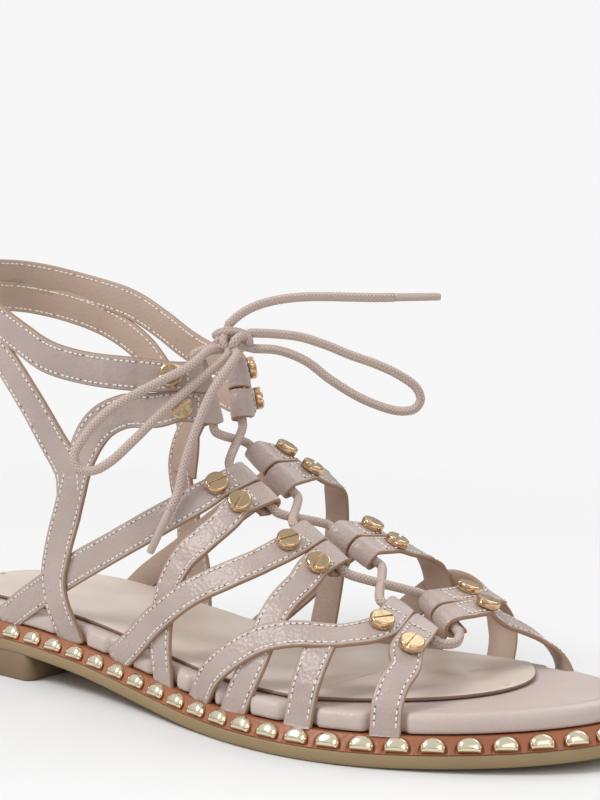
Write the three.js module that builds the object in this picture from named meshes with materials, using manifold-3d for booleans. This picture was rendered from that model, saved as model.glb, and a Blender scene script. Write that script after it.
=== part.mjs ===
// Studded gladiator sandal for the right foot, in millimetres: +X runs to the toe, +Y to the
// big-toe side and +Z up. The origin is on the floor, under the middle of the heel.
import * as THREE from "three";
import { mergeVertices } from "three/addons/utils/BufferGeometryUtils.js";
import Module from "manifold-3d";

const wasm = await Module();
wasm.setup();

// Sole sizes
const SOLE_LENGTH = 264;
const HEEL_BACK = -32; // X of the back of the heel
const BALL_LITTLE = 51.9; // widest half breadth on the little-toe side
const BALL_BIG = 42.9; // widest half breadth on the big-toe side
const OUTSOLE_THICKNESS = 3.9;
const HEEL_RISE = 9; // how far the heel lifts the seat above the forefoot
const HEEL_LENGTH = 66;
const TOE_SPRING = 3.8;
const WELT_HEIGHT = 4.5;
const WELT_INSET = 3.7; // how far the chamfered face of the welt leans in
const FOOTBED_THICKNESS = 5.9;
const FOOTBED_INSET = 4.3;
const PAD_THICKNESS = 1.2;
const PAD_INSET = 9.6;
const PAD_LENGTH = 226;
const GAP = 0.3; // between faces that touch on the real shoe
const STUD_LENGTH = 7.6;
const STUD_HEIGHT = 4.4;
const STUD_RISE = 1.9;
const STUD_PITCH = 10.1;

// Upper sizes
const ANKLE_HEIGHT = 100; // front of the ankle above the floor
const FOOT_HALF_BREADTH = 47; // half the breadth of the foot over the ball
const STRAP_THICKNESS = 1.7;
const TUBE_RADIUS = 3.6; // folded loop at the end of each strap
const TUBE_HOLE = 2.1;
const SLIT = 0.5; // between the two loops of a tab
const TAB_LIFT = 0.65; // how far the doubled leather of a tab stands above its straps
const TAB_OVERLAP = 0.85; // how much of a strap's width the tab holds outside the screws
const SCREW_RADIUS = 3.8;
const SCREW_HEIGHT = 2.6;
const SLOT_WIDTH = 0.9;
const SLOT_DEPTH = 0.8;
const LACE_RADIUS = 1.45;
const KNOT_LENGTH = 15;
const KNOT_BREADTH = 10;
const KNOT_HEIGHT = 9;
const TIP_RADIUS = 1.3;
const TIP_LENGTH = 14.5;

// Half outline of the sole on each side, as shares of the length and of the ball's half breadth
const LITTLE_SIDE = [
  { along: 0, out: 0 },
  { along: 0.012, out: 0.242 },
  { along: 0.035, out: 0.429 },
  { along: 0.08, out: 0.593 },
  { along: 0.15, out: 0.692 },
  { along: 0.25, out: 0.725 },
  { along: 0.35, out: 0.754 },
  { along: 0.45, out: 0.831 },
  { along: 0.55, out: 0.934 },
  { along: 0.63, out: 1 },
  { along: 0.7, out: 1 },
  { along: 0.77, out: 0.923 },
  { along: 0.84, out: 0.769 },
  { along: 0.9, out: 0.585 },
  { along: 0.95, out: 0.375 },
  { along: 0.985, out: 0.14 },
];
const BIG_SIDE = [
  { along: 0.012, out: 0.259 },
  { along: 0.035, out: 0.459 },
  { along: 0.08, out: 0.635 },
  { along: 0.15, out: 0.729 },
  { along: 0.25, out: 0.694 },
  { along: 0.35, out: 0.635 },
  { along: 0.45, out: 0.647 },
  { along: 0.55, out: 0.753 },
  { along: 0.65, out: 0.906 },
  { along: 0.73, out: 1 },
  { along: 0.8, out: 1 },
  { along: 0.87, out: 0.906 },
  { along: 0.93, out: 0.729 },
  { along: 0.97, out: 0.56 },
  { along: 0.992, out: 0.37 },
  { along: 1, out: 0.15 },
];

// Sections of the foot that the straps lie on, from the toes back and up to the ankle. Each runs
// from the ridge on top of the foot down to its side, or, past the heel, round to its back.
// ridge and side are places along the sole, up and back are heights, as shares of ANKLE_HEIGHT.
// low pulls the wall up, crown lifts the top, and lowHalf and topHalf are shares of
// FOOT_HALF_BREADTH. A section with no back height ends on the welt.
const LITTLE_SECTIONS = [
  { ridge: 0.818, up: 0.24, side: 0.841, back: 0, low: 0.75, lowHalf: 0.81, topHalf: 0.47, crown: 0.1 },
  { ridge: 0.769, up: 0.3, side: 0.78, back: 0, low: 0.75, lowHalf: 0.92, topHalf: 0.49, crown: 0.1 },
  { ridge: 0.708, up: 0.385, side: 0.697, back: 0, low: 0.7, lowHalf: 1, topHalf: 0.51, crown: 0 },
  { ridge: 0.64, up: 0.485, side: 0.606, back: 0, low: 0.6, lowHalf: 0.98, topHalf: 0.49, crown: 0 },
  { ridge: 0.576, up: 0.595, side: 0.523, back: 0, low: 0.55, lowHalf: 0.96, topHalf: 0.49, crown: 0 },
  { ridge: 0.515, up: 0.69, side: 0.424, back: 0, low: 0.5, lowHalf: 0.89, topHalf: 0.51, crown: 0 },
  { ridge: 0.477, up: 0.79, side: 0.318, back: 0, low: 0.5, lowHalf: 0.81, topHalf: 0.6, crown: 0 },
  { ridge: 0.458, up: 0.89, side: 0.205, back: 0, low: 0.45, lowHalf: 0.77, topHalf: 0.72, crown: 0 },
  { ridge: 0.453, up: 0.95, side: 0.091, back: 0, low: 0.25, lowHalf: 0.85, topHalf: 0.81, crown: 0 },
  { ridge: 0.451, up: 0.98, side: 0.011, back: 0.45, low: 0.05, lowHalf: 0.94, topHalf: 0.89, crown: 0 },
  { ridge: 0.451, up: 0.995, side: 0.015, back: 0.9, low: 0, lowHalf: 0.94, topHalf: 0.94, crown: 0 },
  { ridge: 0.451, up: 1.01, side: 0.034, back: 1.35, low: 0, lowHalf: 0.94, topHalf: 0.94, crown: 0 },
];
const BIG_SECTIONS = [
  { ridge: 0.818, up: 0.24, side: 0.894, back: 0, low: 0.73, lowHalf: 0.97, topHalf: 0.15, crown: 0.84 },
  { ridge: 0.769, up: 0.3, side: 0.833, back: 0, low: 0.6, lowHalf: 1.25, topHalf: 0.3, crown: 0.8 },
  { ridge: 0.708, up: 0.385, side: 0.75, back: 0, low: 0.76, lowHalf: 1.44, topHalf: 0.82, crown: -0.04 },
  { ridge: 0.64, up: 0.485, side: 0.652, back: 0, low: 0.96, lowHalf: 1.24, topHalf: 0.76, crown: -0.05 },
  { ridge: 0.576, up: 0.595, side: 0.561, back: 0, low: 0.9, lowHalf: 1.16, topHalf: 0.65, crown: -0.13 },
  { ridge: 0.515, up: 0.69, side: 0.455, back: 0, low: 1, lowHalf: 1.4, topHalf: 0.6, crown: 0.04 },
  { ridge: 0.477, up: 0.79, side: 0.337, back: 0, low: 0.84, lowHalf: 1.04, topHalf: 0.55, crown: -0.05 },
  { ridge: 0.458, up: 0.89, side: 0.212, back: 0, low: 0.6, lowHalf: 0.77, topHalf: 0.72, crown: 0.05 },
  { ridge: 0.453, up: 0.95, side: 0.091, back: 0, low: 0.28, lowHalf: 0.81, topHalf: 0.82, crown: 0 },
  { ridge: 0.451, up: 0.98, side: 0.011, back: 0.45, low: 0.05, lowHalf: 0.94, topHalf: 0.89, crown: 0 },
  { ridge: 0.451, up: 0.995, side: 0.015, back: 0.9, low: 0, lowHalf: 0.94, topHalf: 0.94, crown: 0 },
  { ridge: 0.451, up: 1.01, side: 0.034, back: 1.35, low: 0, lowHalf: 0.94, topHalf: 0.94, crown: 0 },
];

// Straps, from their loop on the ridge down to the sole. Each row is the section it crosses
// (counted from the toes), how far round from the ridge (0) to the welt (1), how many strap
// thicknesses it is lifted to pass over another, and how many sections further back it lies on
// the big-toe side. The screw sits on the second row.
const STRAPS = [
  {
    name: "toe_back", width: 9,
    rows: [
      [1.78, 0.1, 0, -0.21], [1.58, 0.31, 0, -0.18], [1.93, 0.49, 0.3, -0.15], [2.5, 0.6, 0.9, -0.12],
      [2.91, 0.68, 0.9, -0.09], [3.26, 0.79, 0.9, -0.06], [3.54, 0.89, 0.4, -0.03],
      [3.67, 0.985, 0, 0],
    ],
  },
  {
    name: "toe_front", width: 9,
    rows: [
      [1.17, 0.1, 0, -0.29], [0.88, 0.35, 0, -0.23], [0.72, 0.49, 0, -0.17], [0.73, 0.65, 0, -0.12],
      [0.75, 0.81, 0, -0.06], [0.8, 0.985, 0, 0],
    ],
  },
  {
    name: "toe_middle", width: 9.5,
    rows: [
      [2.15, 0.5, 0, 0.05], [2.05, 0.63, 0, 0.03], [1.99, 0.8, 0, 0.02], [1.98, 0.985, 0, 0],
    ],
  },
  {
    name: "instep_back", width: 9.5,
    rows: [
      [3.68, 0.1, 0, -0.11], [3.66, 0.25, 0, -0.09], [3.78, 0.39, 0, -0.08], [4, 0.5, 0.4, -0.06],
      [4.41, 0.64, 0.9, -0.05], [4.78, 0.78, 0.9, -0.03], [5.05, 0.9, 0.4, -0.02], [5.26, 0.985, 0, 0],
    ],
  },
  {
    name: "instep_front", width: 9.5,
    rows: [
      [3.08, 0.1, 0, 0], [3.05, 0.24, 0, 0], [3.02, 0.36, 0, 0], [3.02, 0.48, 0, 0], [2.97, 0.61, 0, 0],
      [2.89, 0.78, 0, 0], [2.93, 0.9, 0, 0], [2.97, 0.985, 0, 0],
    ],
  },
  {
    name: "ankle_back", width: 10,
    rows: [
      [5.3, 0.1, 0, 0.45], [5.36, 0.25, 0, 0.39], [5.52, 0.38, 0, 0.34], [5.86, 0.53, 0, 0.28],
      [6.28, 0.67, 0, 0.23], [6.62, 0.77, 0, 0.17], [6.88, 0.86, 0, 0.11], [7.08, 0.94, 0, 0.06],
      [7.15, 0.985, 0, 0],
    ],
  },
  {
    name: "ankle_front", width: 9.5,
    rows: [
      [4.66, 0.1, 0, 0.27], [4.76, 0.24, 0, 0.23], [4.74, 0.33, 0, 0.19], [4.81, 0.44, 0, 0.15],
      [4.93, 0.56, 0, 0.12], [4.85, 0.7, 0, 0.08], [4.64, 0.85, 0, 0.04], [4.43, 0.985, 0, 0],
    ],
  },
  {
    name: "collar", width: 10.6,
    rows: [
      [11, 0.08, 0, 0], [10.6, 0.16, 0, 0], [10.45, 0.27, 0, 0], [10.45, 0.36, 0, 0],
      [10.52, 0.44, 0, 0.06], [10.67, 0.51, 0, 0.08], [10.8, 0.6, 0, 0.1], [10.84, 0.75, 0, 0.06],
      [10.87, 0.88, 0, 0.02], [10.87, 1, 0, 0],
    ],
  },
  {
    name: "upright", width: 11,
    rows: [
      [7.3, 0.08, 0, 0], [8.2, 0.16, 0, 0], [8.7, 0.21, 0, 0], [9.2, 0.27, 0, 0.2],
      [9.05, 0.33, 0, 0.6], [8.45, 0.41, 0, 0.75], [7.95, 0.49, 0, 0.62], [7.49, 0.59, 0.4, 0.5],
      [7.16, 0.69, 0.9, 0.37], [6.81, 0.81, 0.9, 0.25], [6.5, 0.89, 0.8, 0.12], [6.12, 0.985, 0, 0],
    ],
  },
  {
    name: "heel_sling", width: 10.6,
    rows: [
      [7.8, 0.52, 0, 0.5], [8.45, 0.44, 0, 0.35], [9.2, 0.435, 0, 0.1], [9.85, 0.475, 0, 0],
      [10.4, 0.56, 0, 0], [10.62, 0.68, 0, 0], [10.68, 0.85, 0, 0], [10.68, 1, 0, 0],
    ],
  },
];
// The two straps of each tab, back one first, from the toes up. The last is the ankle's.
const TABS = [
  ["toe_back", "toe_front"],
  ["instep_back", "instep_front"],
  ["ankle_back", "ankle_front"],
  ["collar", "upright"],
];
const STEP = 14; // along a strap between its sections
const CORD_SIDES = 8;
const CORD_STEP = 8.5; // along a free cord
const WELT_FACE_OUT = 0.5; // how far from the welt's edge to its top the studs' line runs

// Free parts of the lace, point by point along the cord
const BOW = {
  lace_loop_outer: [
    [88.2, -6, 109.7], [89.3, -12, 109.2], [88.9, -20, 105], [81.5, -30, 99], [74, -39, 92.5],
    [69.5, -44.5, 85.5], [67, -48, 78.5], [68.5, -47.5, 74.5], [72, -45, 74], [75.5, -41.5, 76.5],
    [80, -35.5, 83], [85.6, -26, 93], [91.6, -15, 102.6], [92.2, -5.4, 107.7],
  ],
  lace_loop_inner: [
    [94.5, 3.05, 114.7], [100, 8.3, 114.4], [106.5, 13, 113.5], [113, 18, 111], [119, 22.5, 108],
    [126, 27.5, 105], [132, 32, 101.5], [136, 35.3, 97.6], [137, 36.2, 93.8], [135.5, 35, 91],
    [131.5, 32.2, 90.3], [123, 25.5, 93.7], [114.5, 18.8, 100], [108, 14, 106], [101.5, 8.3, 109.3],
    [95.7, 3.3, 109.8],
  ],
  lace_end_inner: [
    [88.2, -0.3, 117.1], [91, 1.8, 120.2], [95, 4.4, 122.9], [100, 8.3, 124.8], [106.5, 13, 125.9],
    [113, 18, 126.1], [119, 22.4, 126], [126, 27.6, 125.9], [130, 30.7, 126],
  ],
  lace_end_outer: [
    [95.2, -4.2, 108.4], [96.6, -8.5, 106.3], [97, -12.5, 103.2], [96, -17.5, 97.5],
    [94.5, -22, 88.5], [93, -25, 80],
    [91.6, -26.5, 73], [91, -28, 67], [90, -30.5, 62],
  ],
};
const KNOT_PLACE = [90, -1, 111.5]; // middle of the knot

// A smooth value of one column at a place between rows, with no overshoot.
function between(values, place) {
  const last = values.length - 1;
  const i = Math.min(Math.max(Math.floor(place), 0), last - 1);
  const t = place - i;
  const slope = (k) => {
    if (k <= 0 || k >= last) return 0.5 * (values[Math.min(k + 1, last)] - values[Math.max(k - 1, 0)]);
    const before = values[k] - values[k - 1];
    const after = values[k + 1] - values[k];
    return before * after <= 0 ? 0 : (2 * before * after) / (before + after);
  };
  const t2 = t * t;
  const t3 = t2 * t;
  return (
    values[i] * (2 * t3 - 3 * t2 + 1) +
    slope(i) * (t3 - 2 * t2 + t) +
    values[i + 1] * (3 * t2 - 2 * t3) +
    slope(i + 1) * (t3 - t2)
  );
}

// Sole outline
const HALF_STEPS = 26; // points on each half of a ring
const FINE_STEPS = 1200;
const WELD = 0.01; // points of a finished solid nearer than this are made one
const outlineCurve = new THREE.CatmullRomCurve3(
  [
    ...LITTLE_SIDE.map((p) => new THREE.Vector3(HEEL_BACK + p.along * SOLE_LENGTH, -p.out * BALL_LITTLE, 0)),
    ...BIG_SIDE.toReversed().map(
      (p) => new THREE.Vector3(HEEL_BACK + p.along * SOLE_LENGTH, p.out * BALL_BIG, 0),
    ),
  ],
  true,
  "centripetal",
);
outlineCurve.arcLengthDivisions = FINE_STEPS;
const finePoints = outlineCurve.getSpacedPoints(FINE_STEPS).slice(0, FINE_STEPS);
const toeIndex = finePoints.reduce((best, p, i) => (p.x > finePoints[best].x ? i : best), 0);

// The outline's point and outward direction at a place counted in fine steps.
function outlineAt(index) {
  const wrap = (k) => finePoints[((k % FINE_STEPS) + FINE_STEPS) % FINE_STEPS];
  const low = Math.floor(index);
  const point = wrap(low).clone().lerp(wrap(low + 1), index - low);
  const run = wrap(low + 4).clone().sub(wrap(low - 3)).normalize();
  return { point, outward: new THREE.Vector3(run.y, -run.x, 0) };
}

function halfBreadth(x, side) {
  const half = side < 0 ? finePoints.slice(0, toeIndex + 1) : finePoints.slice(toeIndex);
  const nearest = half.reduce((best, p) => (Math.abs(p.x - x) < Math.abs(best.x - x) ? p : best));
  return Math.abs(nearest.y);
}

// Heights along the sole
const along = (x) => (x - HEEL_BACK) / SOLE_LENGTH;
const ARCH_START = 0.19; // share of the length where the seat starts to fall
const ARCH_END = 0.6; // share of the length where the sole meets the floor again
const SPRING_START = 0.72;
const seamHeight = (x) =>
  OUTSOLE_THICKNESS +
  HEEL_RISE * (1 - THREE.MathUtils.smoothstep(along(x), ARCH_START, ARCH_END)) +
  TOE_SPRING * Math.max(0, (along(x) - SPRING_START) / (1 - SPRING_START)) ** 2;
const weltTop = (x) => seamHeight(x) + WELT_HEIGHT;
const bedTop = (x) => weltTop(x) + FOOTBED_THICKNESS;

// One closed ring of the sole, set in from the outline, at a height worked out from X.
function ring(inset, height) {
  const points = [];
  for (let i = 0; i < 2 * HALF_STEPS; i++) {
    const index =
      i <= HALF_STEPS
        ? (i / HALF_STEPS) * toeIndex
        : toeIndex + ((i - HALF_STEPS) / HALF_STEPS) * (FINE_STEPS - toeIndex);
    const { point, outward } = outlineAt(index);
    point.addScaledVector(outward, -inset);
    points.push(point.setZ(height(point.x)));
  }
  return points;
}

// A solid from loops of points, closed at both ends by cross strips or by a fan.
function loft(rings, cap) {
  const n = rings[0].length;
  const faces = [];
  for (let k = 0; k + 1 < rings.length; k++) {
    for (let i = 0; i < n; i++) {
      const j = (i + 1) % n;
      faces.push([k * n + i, k * n + j, (k + 1) * n + j], [k * n + i, (k + 1) * n + j, (k + 1) * n + i]);
    }
  }
  const top = (rings.length - 1) * n;
  for (const [a, b, c] of cap(n)) {
    faces.push([c, b, a], [top + a, top + b, top + c]);
  }
  const geometry = new THREE.BufferGeometry().setFromPoints(rings.flat());
  geometry.setIndex(faces.flat());
  return geometry;
}

const fan = (n) => Array.from({ length: n - 2 }, (_, i) => [0, i + 1, i + 2]);
const ladder = (n) => {
  const strips = [];
  for (let i = 0; i < n / 2; i++) {
    const across = (n - i) % n;
    if (i > 0) strips.push([i, i + 1, across]);
    if (i + 1 < n / 2) strips.push([i + 1, n - i - 1, across]);
  }
  return strips;
};

function solid(geometry) {
  const bare = geometry.clone();
  bare.deleteAttribute("normal");
  bare.deleteAttribute("uv");
  const merged = mergeVertices(bare, 1e-4);
  return new wasm.Manifold(
    new wasm.Mesh({
      numProp: 3,
      vertProperties: new Float32Array(merged.attributes.position.array),
      triVerts: new Uint32Array(merged.index.array),
    }),
  );
}

function geometryOf(body) {
  const mesh = body.getMesh();
  const geometry = new THREE.BufferGeometry();
  geometry.setAttribute("position", new THREE.BufferAttribute(new Float32Array(mesh.vertProperties), 3));
  geometry.setIndex(new THREE.BufferAttribute(new Uint32Array(mesh.triVerts), 1));
  return geometry;
}

const joined = (bodies) => bodies.reduce((whole, body) => whole.add(body));

// The main body of a cut solid, without the crumbs that a notch leaves.
const larger = (best, piece) => (piece.volume() > best.volume() ? piece : best);
const largest = (body) => body.decompose().reduce(larger);

// The same solid with the slivers of air shut in between crossing straps filled.
const filled = (body) => joined(body.decompose().filter((piece) => piece.volume() > 0));

// The last: sections turned into columns, then a point and an outward direction anywhere on it
function lastOf(sections, side) {
  const column = (of) => sections.map(of);
  const x = (share) => HEEL_BACK + share * SOLE_LENGTH;
  const footInset = WELT_INSET + STRAP_THICKNESS + GAP;
  return {
    side,
    ridgeX: column((s) => x(s.ridge)),
    ridgeZ: column((s) => s.up * ANKLE_HEIGHT),
    footX: column((s) => x(s.side)),
    footZ: column((s) => (s.back ? s.back * ANKLE_HEIGHT : weltTop(x(s.side)))),
    footHalf: column((s) => (s.back ? 0 : halfBreadth(x(s.side), side) - footInset)),
    low: column((s) => s.low),
    crown: column((s) => s.crown),
    lowHalf: column((s) => s.lowHalf * FOOT_HALF_BREADTH),
    topHalf: column((s) => s.topHalf * FOOT_HALF_BREADTH),
  };
}
const LASTS = { [-1]: lastOf(LITTLE_SECTIONS, -1), [1]: lastOf(BIG_SECTIONS, 1) };

function onLast(last, section, around) {
  const value = (name) => between(last[name], section);
  const back = 1 - around;
  const share =
    back ** 3 +
    3 * back * back * around * (1 + value("crown")) +
    3 * back * around * around * value("low");
  const half =
    3 * back * back * around * value("topHalf") +
    3 * back * around * around * value("lowHalf") +
    around ** 3 * value("footHalf");
  return new THREE.Vector3(
    value("footX") + (value("ridgeX") - value("footX")) * share,
    last.side * half,
    value("footZ") + (value("ridgeZ") - value("footZ")) * share,
  );
}

function outwardOnLast(last, section, around) {
  const nudge = 0.01;
  const a = Math.min(Math.max(around, nudge), 1 - nudge);
  const s = Math.min(Math.max(section, nudge), last.low.length - 1 - nudge);
  const round = onLast(last, s, a + nudge).sub(onLast(last, s, a - nudge));
  const forward = onLast(last, s - nudge, a).sub(onLast(last, s + nudge, a));
  return forward.cross(round).multiplyScalar(last.side).normalize();
}

// A strap's centre line and its outward directions, at the side's own last
function strapLine(strap, side) {
  const last = LASTS[side];
  const shifted = side > 0 ? 1 : 0; // the rows' shift is for the big-toe side alone
  const places = strap.rows.map(([section, around, , shift]) => [section + shifted * shift, around]);
  const outs = places.map(([section, around]) => outwardOnLast(last, section, around));
  const points = places.map(([section, around], i) =>
    onLast(last, section, around).addScaledVector(outs[i], (strap.rows[i][2] + 0.5) * STRAP_THICKNESS),
  );
  return { points, outs, width: strap.width };
}

// A strap's closed sheet: a flat section carried along its centre line.
function strapSolid(line) {
  const path = new THREE.CatmullRomCurve3(line.points, false, "centripetal");
  const outPath = new THREE.CatmullRomCurve3(line.outs, false, "centripetal");
  const steps = Math.max(4, Math.round(path.getLength() / STEP));
  const rings = [];
  for (let i = 0; i <= steps; i++) {
    const t = path.getUtoTmapping(i / steps);
    const tangent = path.getTangent(t);
    const out = outPath.getPoint(t);
    out.addScaledVector(tangent, -out.dot(tangent)).normalize();
    rings.push(section(path.getPoint(t), out.clone().cross(tangent), out, line.width, STRAP_THICKNESS));
  }
  return solid(loft(rings, fan));
}

// The four corners of a flat section, in turn.
function section(centre, across, out, width, thickness) {
  return [[-1, -1], [1, -1], [1, 1], [-1, 1]].map(([a, b]) =>
    centre
      .clone()
      .addScaledVector(across, (a * width) / 2)
      .addScaledVector(out, (b * thickness) / 2),
  );
}

// The middle line of a tab: its two straps share it from their loops (0) to their screws (1).
function tabAt(names, side, t) {
  const [a, b] = names.map((name) => strapLine(STRAPS.find((s) => s.name === name), side));
  const at = (list) => (t <= 1 ? list[0].clone().lerp(list[1], t) : list[1].clone().lerp(list[2], t - 1));
  const out = at(a.outs).lerp(at(b.outs), 0.5).normalize();
  const across = at(b.points).sub(at(a.points));
  const spacing = across.length();
  across.addScaledVector(out, -across.dot(out)).normalize();
  return { middle: at(a.points).lerp(at(b.points), 0.5), out, across, spacing, width: a.width };
}

// The doubled leather of a tab, from its loops to past the screws
function tabPlate(names, side) {
  const rings = [0, 0.5, 1, 1.3].map((t) => {
    const { middle, out, across, spacing, width } = tabAt(names, side, t);
    middle.addScaledVector(out, TAB_LIFT);
    return section(middle, across.multiplyScalar(-side), out, spacing + TAB_OVERLAP * width, STRAP_THICKNESS);
  });
  return solid(loft(rings, fan));
}

// The pair of loops at a tab: their middle, common axis and length
function tabLoops(names, side) {
  const { middle, out, across, spacing, width } = tabAt(names, side, 0);
  middle.addScaledVector(out, TAB_LIFT + STRAP_THICKNESS / 2 - TUBE_RADIUS);
  return { middle, axis: across, length: spacing + TAB_OVERLAP * width };
}

// Where the screw of a tab's back (-1) or front (1) strap stands
function screwSeat(names, side, place) {
  const { middle, out, across, spacing } = tabAt(names, side, 1);
  middle.addScaledVector(out, TAB_LIFT + STRAP_THICKNESS / 2 + GAP);
  const apart = Math.max(spacing, 2 * SCREW_RADIUS + 1);
  return { place: middle.addScaledVector(across, (place * apart) / 2), out };
}

function cylinderAlong(radius, middle, axis, length, sides) {
  const geometry = new THREE.CylinderGeometry(radius, radius, length, sides);
  geometry.applyQuaternion(new THREE.Quaternion().setFromUnitVectors(new THREE.Vector3(0, 1, 0), axis));
  geometry.translate(middle.x, middle.y, middle.z);
  return solid(geometry);
}

// Materials
const leather = new THREE.MeshStandardMaterial({ color: 0xc8b6ac, roughness: 0.55 });
const rubber = new THREE.MeshStandardMaterial({ color: 0xa58c5e, roughness: 0.7 });
const weltLeather = new THREE.MeshStandardMaterial({ color: 0xb8703c, roughness: 0.6 });
const bedLeather = new THREE.MeshStandardMaterial({ color: 0xb09c92, roughness: 0.6 });
const padLeather = new THREE.MeshStandardMaterial({ color: 0xd6cab8, roughness: 0.55 });
const gold = new THREE.MeshStandardMaterial({ color: 0xcaa477, roughness: 0.25, metalness: 1 });
const cord = new THREE.MeshStandardMaterial({ color: 0xb9a49b, roughness: 0.7 });
const aglet = new THREE.MeshStandardMaterial({ color: 0xb7a6a0, roughness: 0.35 });

const sandal = new THREE.Group();

function addPiece(name, geometry, material) {
  const mesh = new THREE.Mesh(geometry, material);
  mesh.name = name;
  sandal.add(mesh);
}

// Outsole with its low heel block, moulded in one
const archBottom = (x) => Math.max(0, seamHeight(x) - OUTSOLE_THICKNESS);
const outsoleRings = [ring(0.6, archBottom), ring(0, (x) => archBottom(x) + 0.8), ring(0, seamHeight)];
const outsoleSheet = solid(loft(outsoleRings, ladder));
const heelTopInset = 0.2;
const heelFull = solid(
  loft(
    [ring(1.2, () => 0), ring(heelTopInset, () => 1), ring(heelTopInset, (x) => seamHeight(x) - 1)],
    ladder,
  ),
);
const heelBox = new THREE.BoxGeometry(HEEL_LENGTH, 4 * BALL_LITTLE, 4 * HEEL_RISE);
heelBox.translate(HEEL_BACK + HEEL_LENGTH / 2, 0, 0);
addPiece("outsole", geometryOf(outsoleSheet.add(heelFull.intersect(solid(heelBox)))), rubber);

// Welt strip with its row of domed studs
const weltBody = solid(
  loft(
    [
      ring(0.4, (x) => seamHeight(x) + GAP),
      ring(0.4, (x) => seamHeight(x) + 1),
      ring(WELT_INSET, (x) => weltTop(x)),
    ],
    ladder,
  ),
);
const outlineLength = outlineCurve.getLength();
const studCount = Math.round(outlineLength / STUD_PITCH);
const studs = [];
for (let i = 0; i < studCount; i++) {
  const { point, outward } = outlineAt(((i + 0.37) / studCount) * FINE_STEPS);
  const lean = Math.atan2(WELT_INSET, WELT_HEIGHT);
  const dome = new THREE.SphereGeometry(1, 6, 3);
  dome.rotateX(Math.PI / 2);
  dome.scale(STUD_LENGTH / 2, STUD_HEIGHT / 2, STUD_RISE);
  dome.rotateX(Math.PI / 2 - lean);
  dome.rotateZ(Math.atan2(outward.x, -outward.y));
  const middle = point.clone().addScaledVector(outward, -WELT_FACE_OUT * WELT_INSET);
  middle.z = seamHeight(middle.x) + WELT_HEIGHT * 0.53;
  dome.translate(middle.x, middle.y, middle.z);
  studs.push(solid(dome));
}
addPiece("welt", geometryOf(joined([weltBody, ...studs])), weltLeather);

// Straps of both sides with their loops, joined into the one-piece upper
const strapSolids = [];
const loopSolids = [];
const holes = [];
const tabs = [];
for (const side of [-1, 1]) {
  for (const strap of STRAPS) {
    const line = strapLine(strap, side);
    if (TABS.flat().includes(strap.name)) {
      const start = line.points[0].clone().lerp(line.points[1], 0.7);
      line.points[0] = start;
    }
    strapSolids.push(strapSolid(line));
  }
  for (const names of TABS) {
    const { middle, axis, length } = tabLoops(names, side);
    const pair = cylinderAlong(TUBE_RADIUS, middle, axis, length, 8);
    const slit = cylinderAlong(2 * TUBE_RADIUS, middle, axis, SLIT, 4);
    strapSolids.push(tabPlate(names, side));
    loopSolids.push(pair.subtract(slit));
    holes.push(cylinderAlong(TUBE_HOLE, middle, axis, length + 2, 8));
    tabs.push({ side, middle, axis, length });
  }
}
const screwSeats = [-1, 1].flatMap((side) =>
  TABS.flat().map((_, i) => {
    const { place, out } = screwSeat(TABS[Math.floor(i / 2)], side, i % 2 ? 1 : -1);
    place.addScaledVector(out, SCREW_HEIGHT - GAP);
    return cylinderAlong(SCREW_RADIUS + GAP, place, out, 2 * SCREW_HEIGHT, 8);
  }),
);
const belowFeet = solid(loft([ring(-8, (x) => weltTop(x) - 15), ring(-8, (x) => weltTop(x) + GAP)], ladder));
const upper = joined([...strapSolids, ...loopSolids]).subtract(joined([...holes, ...screwSeats, belowFeet]));
addPiece("upper", geometryOf(filled(upper.simplify(WELD))), leather);

// Footbed, notched round the straps, and the sock pad on it
const footClear = joined(
  [-1, 1].flatMap((side) =>
    STRAPS.filter((s) => s.rows.at(-1)[1] < 1).map((s) => {
      const line = strapLine(s, side);
      const foot = {
        points: line.points.slice(-3).map((p, i) => p.clone().addScaledVector(line.outs.at(i - 3), 4)),
        outs: line.outs.slice(-3),
        width: s.width + 7 * GAP,
      };
      return { foot, side };
    }),
  ).map(({ foot }) => notchSolid(foot)),
);

function notchSolid(line) {
  const path = new THREE.CatmullRomCurve3(line.points, false, "centripetal");
  const depth = 4 + STRAP_THICKNESS / 2 + 3 * GAP;
  const steps = 2;
  const rings = [];
  for (let i = 0; i <= steps; i++) {
    const t = i / steps;
    const centre = path.getPoint(t);
    const tangent = path.getTangent(t);
    const out = new THREE.CatmullRomCurve3(line.outs, false, "centripetal").getPoint(t);
    out.addScaledVector(tangent, -out.dot(tangent)).normalize();
    const across = out.clone().cross(tangent);
    if (i === steps) centre.addScaledVector(tangent, 3);
    const corner = (a, b) =>
      centre.clone().addScaledVector(across, (a * line.width) / 2).addScaledVector(out, b * depth);
    rings.push([corner(-1, -1), corner(1, -1), corner(1, 1), corner(-1, 1)]);
  }
  return solid(loft(rings, fan));
}

const bedBody = solid(
  loft(
    [
      ring(FOOTBED_INSET, (x) => weltTop(x) + GAP),
      ring(FOOTBED_INSET, (x) => bedTop(x) - 1.7),
      ring(FOOTBED_INSET + 2, bedTop),
    ],
    ladder,
  ),
);
addPiece("footbed", geometryOf(largest(bedBody.subtract(footClear))), bedLeather);

const padBody = solid(
  loft(
    [
      ring(PAD_INSET, (x) => bedTop(x) + GAP),
      ring(PAD_INSET + 0.4, (x) => bedTop(x) + PAD_THICKNESS),
    ],
    ladder,
  ),
);
const padEnd = new THREE.CylinderGeometry(2 * BALL_BIG, 2 * BALL_BIG, 8 * FOOTBED_THICKNESS, 48);
padEnd.rotateX(Math.PI / 2);
padEnd.scale(3, 1, 1);
padEnd.translate(HEEL_BACK + PAD_LENGTH - 6 * BALL_BIG, 6, bedTop(0));
addPiece("sock_pad", geometryOf(padBody.intersect(solid(padEnd))), padLeather);

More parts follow.
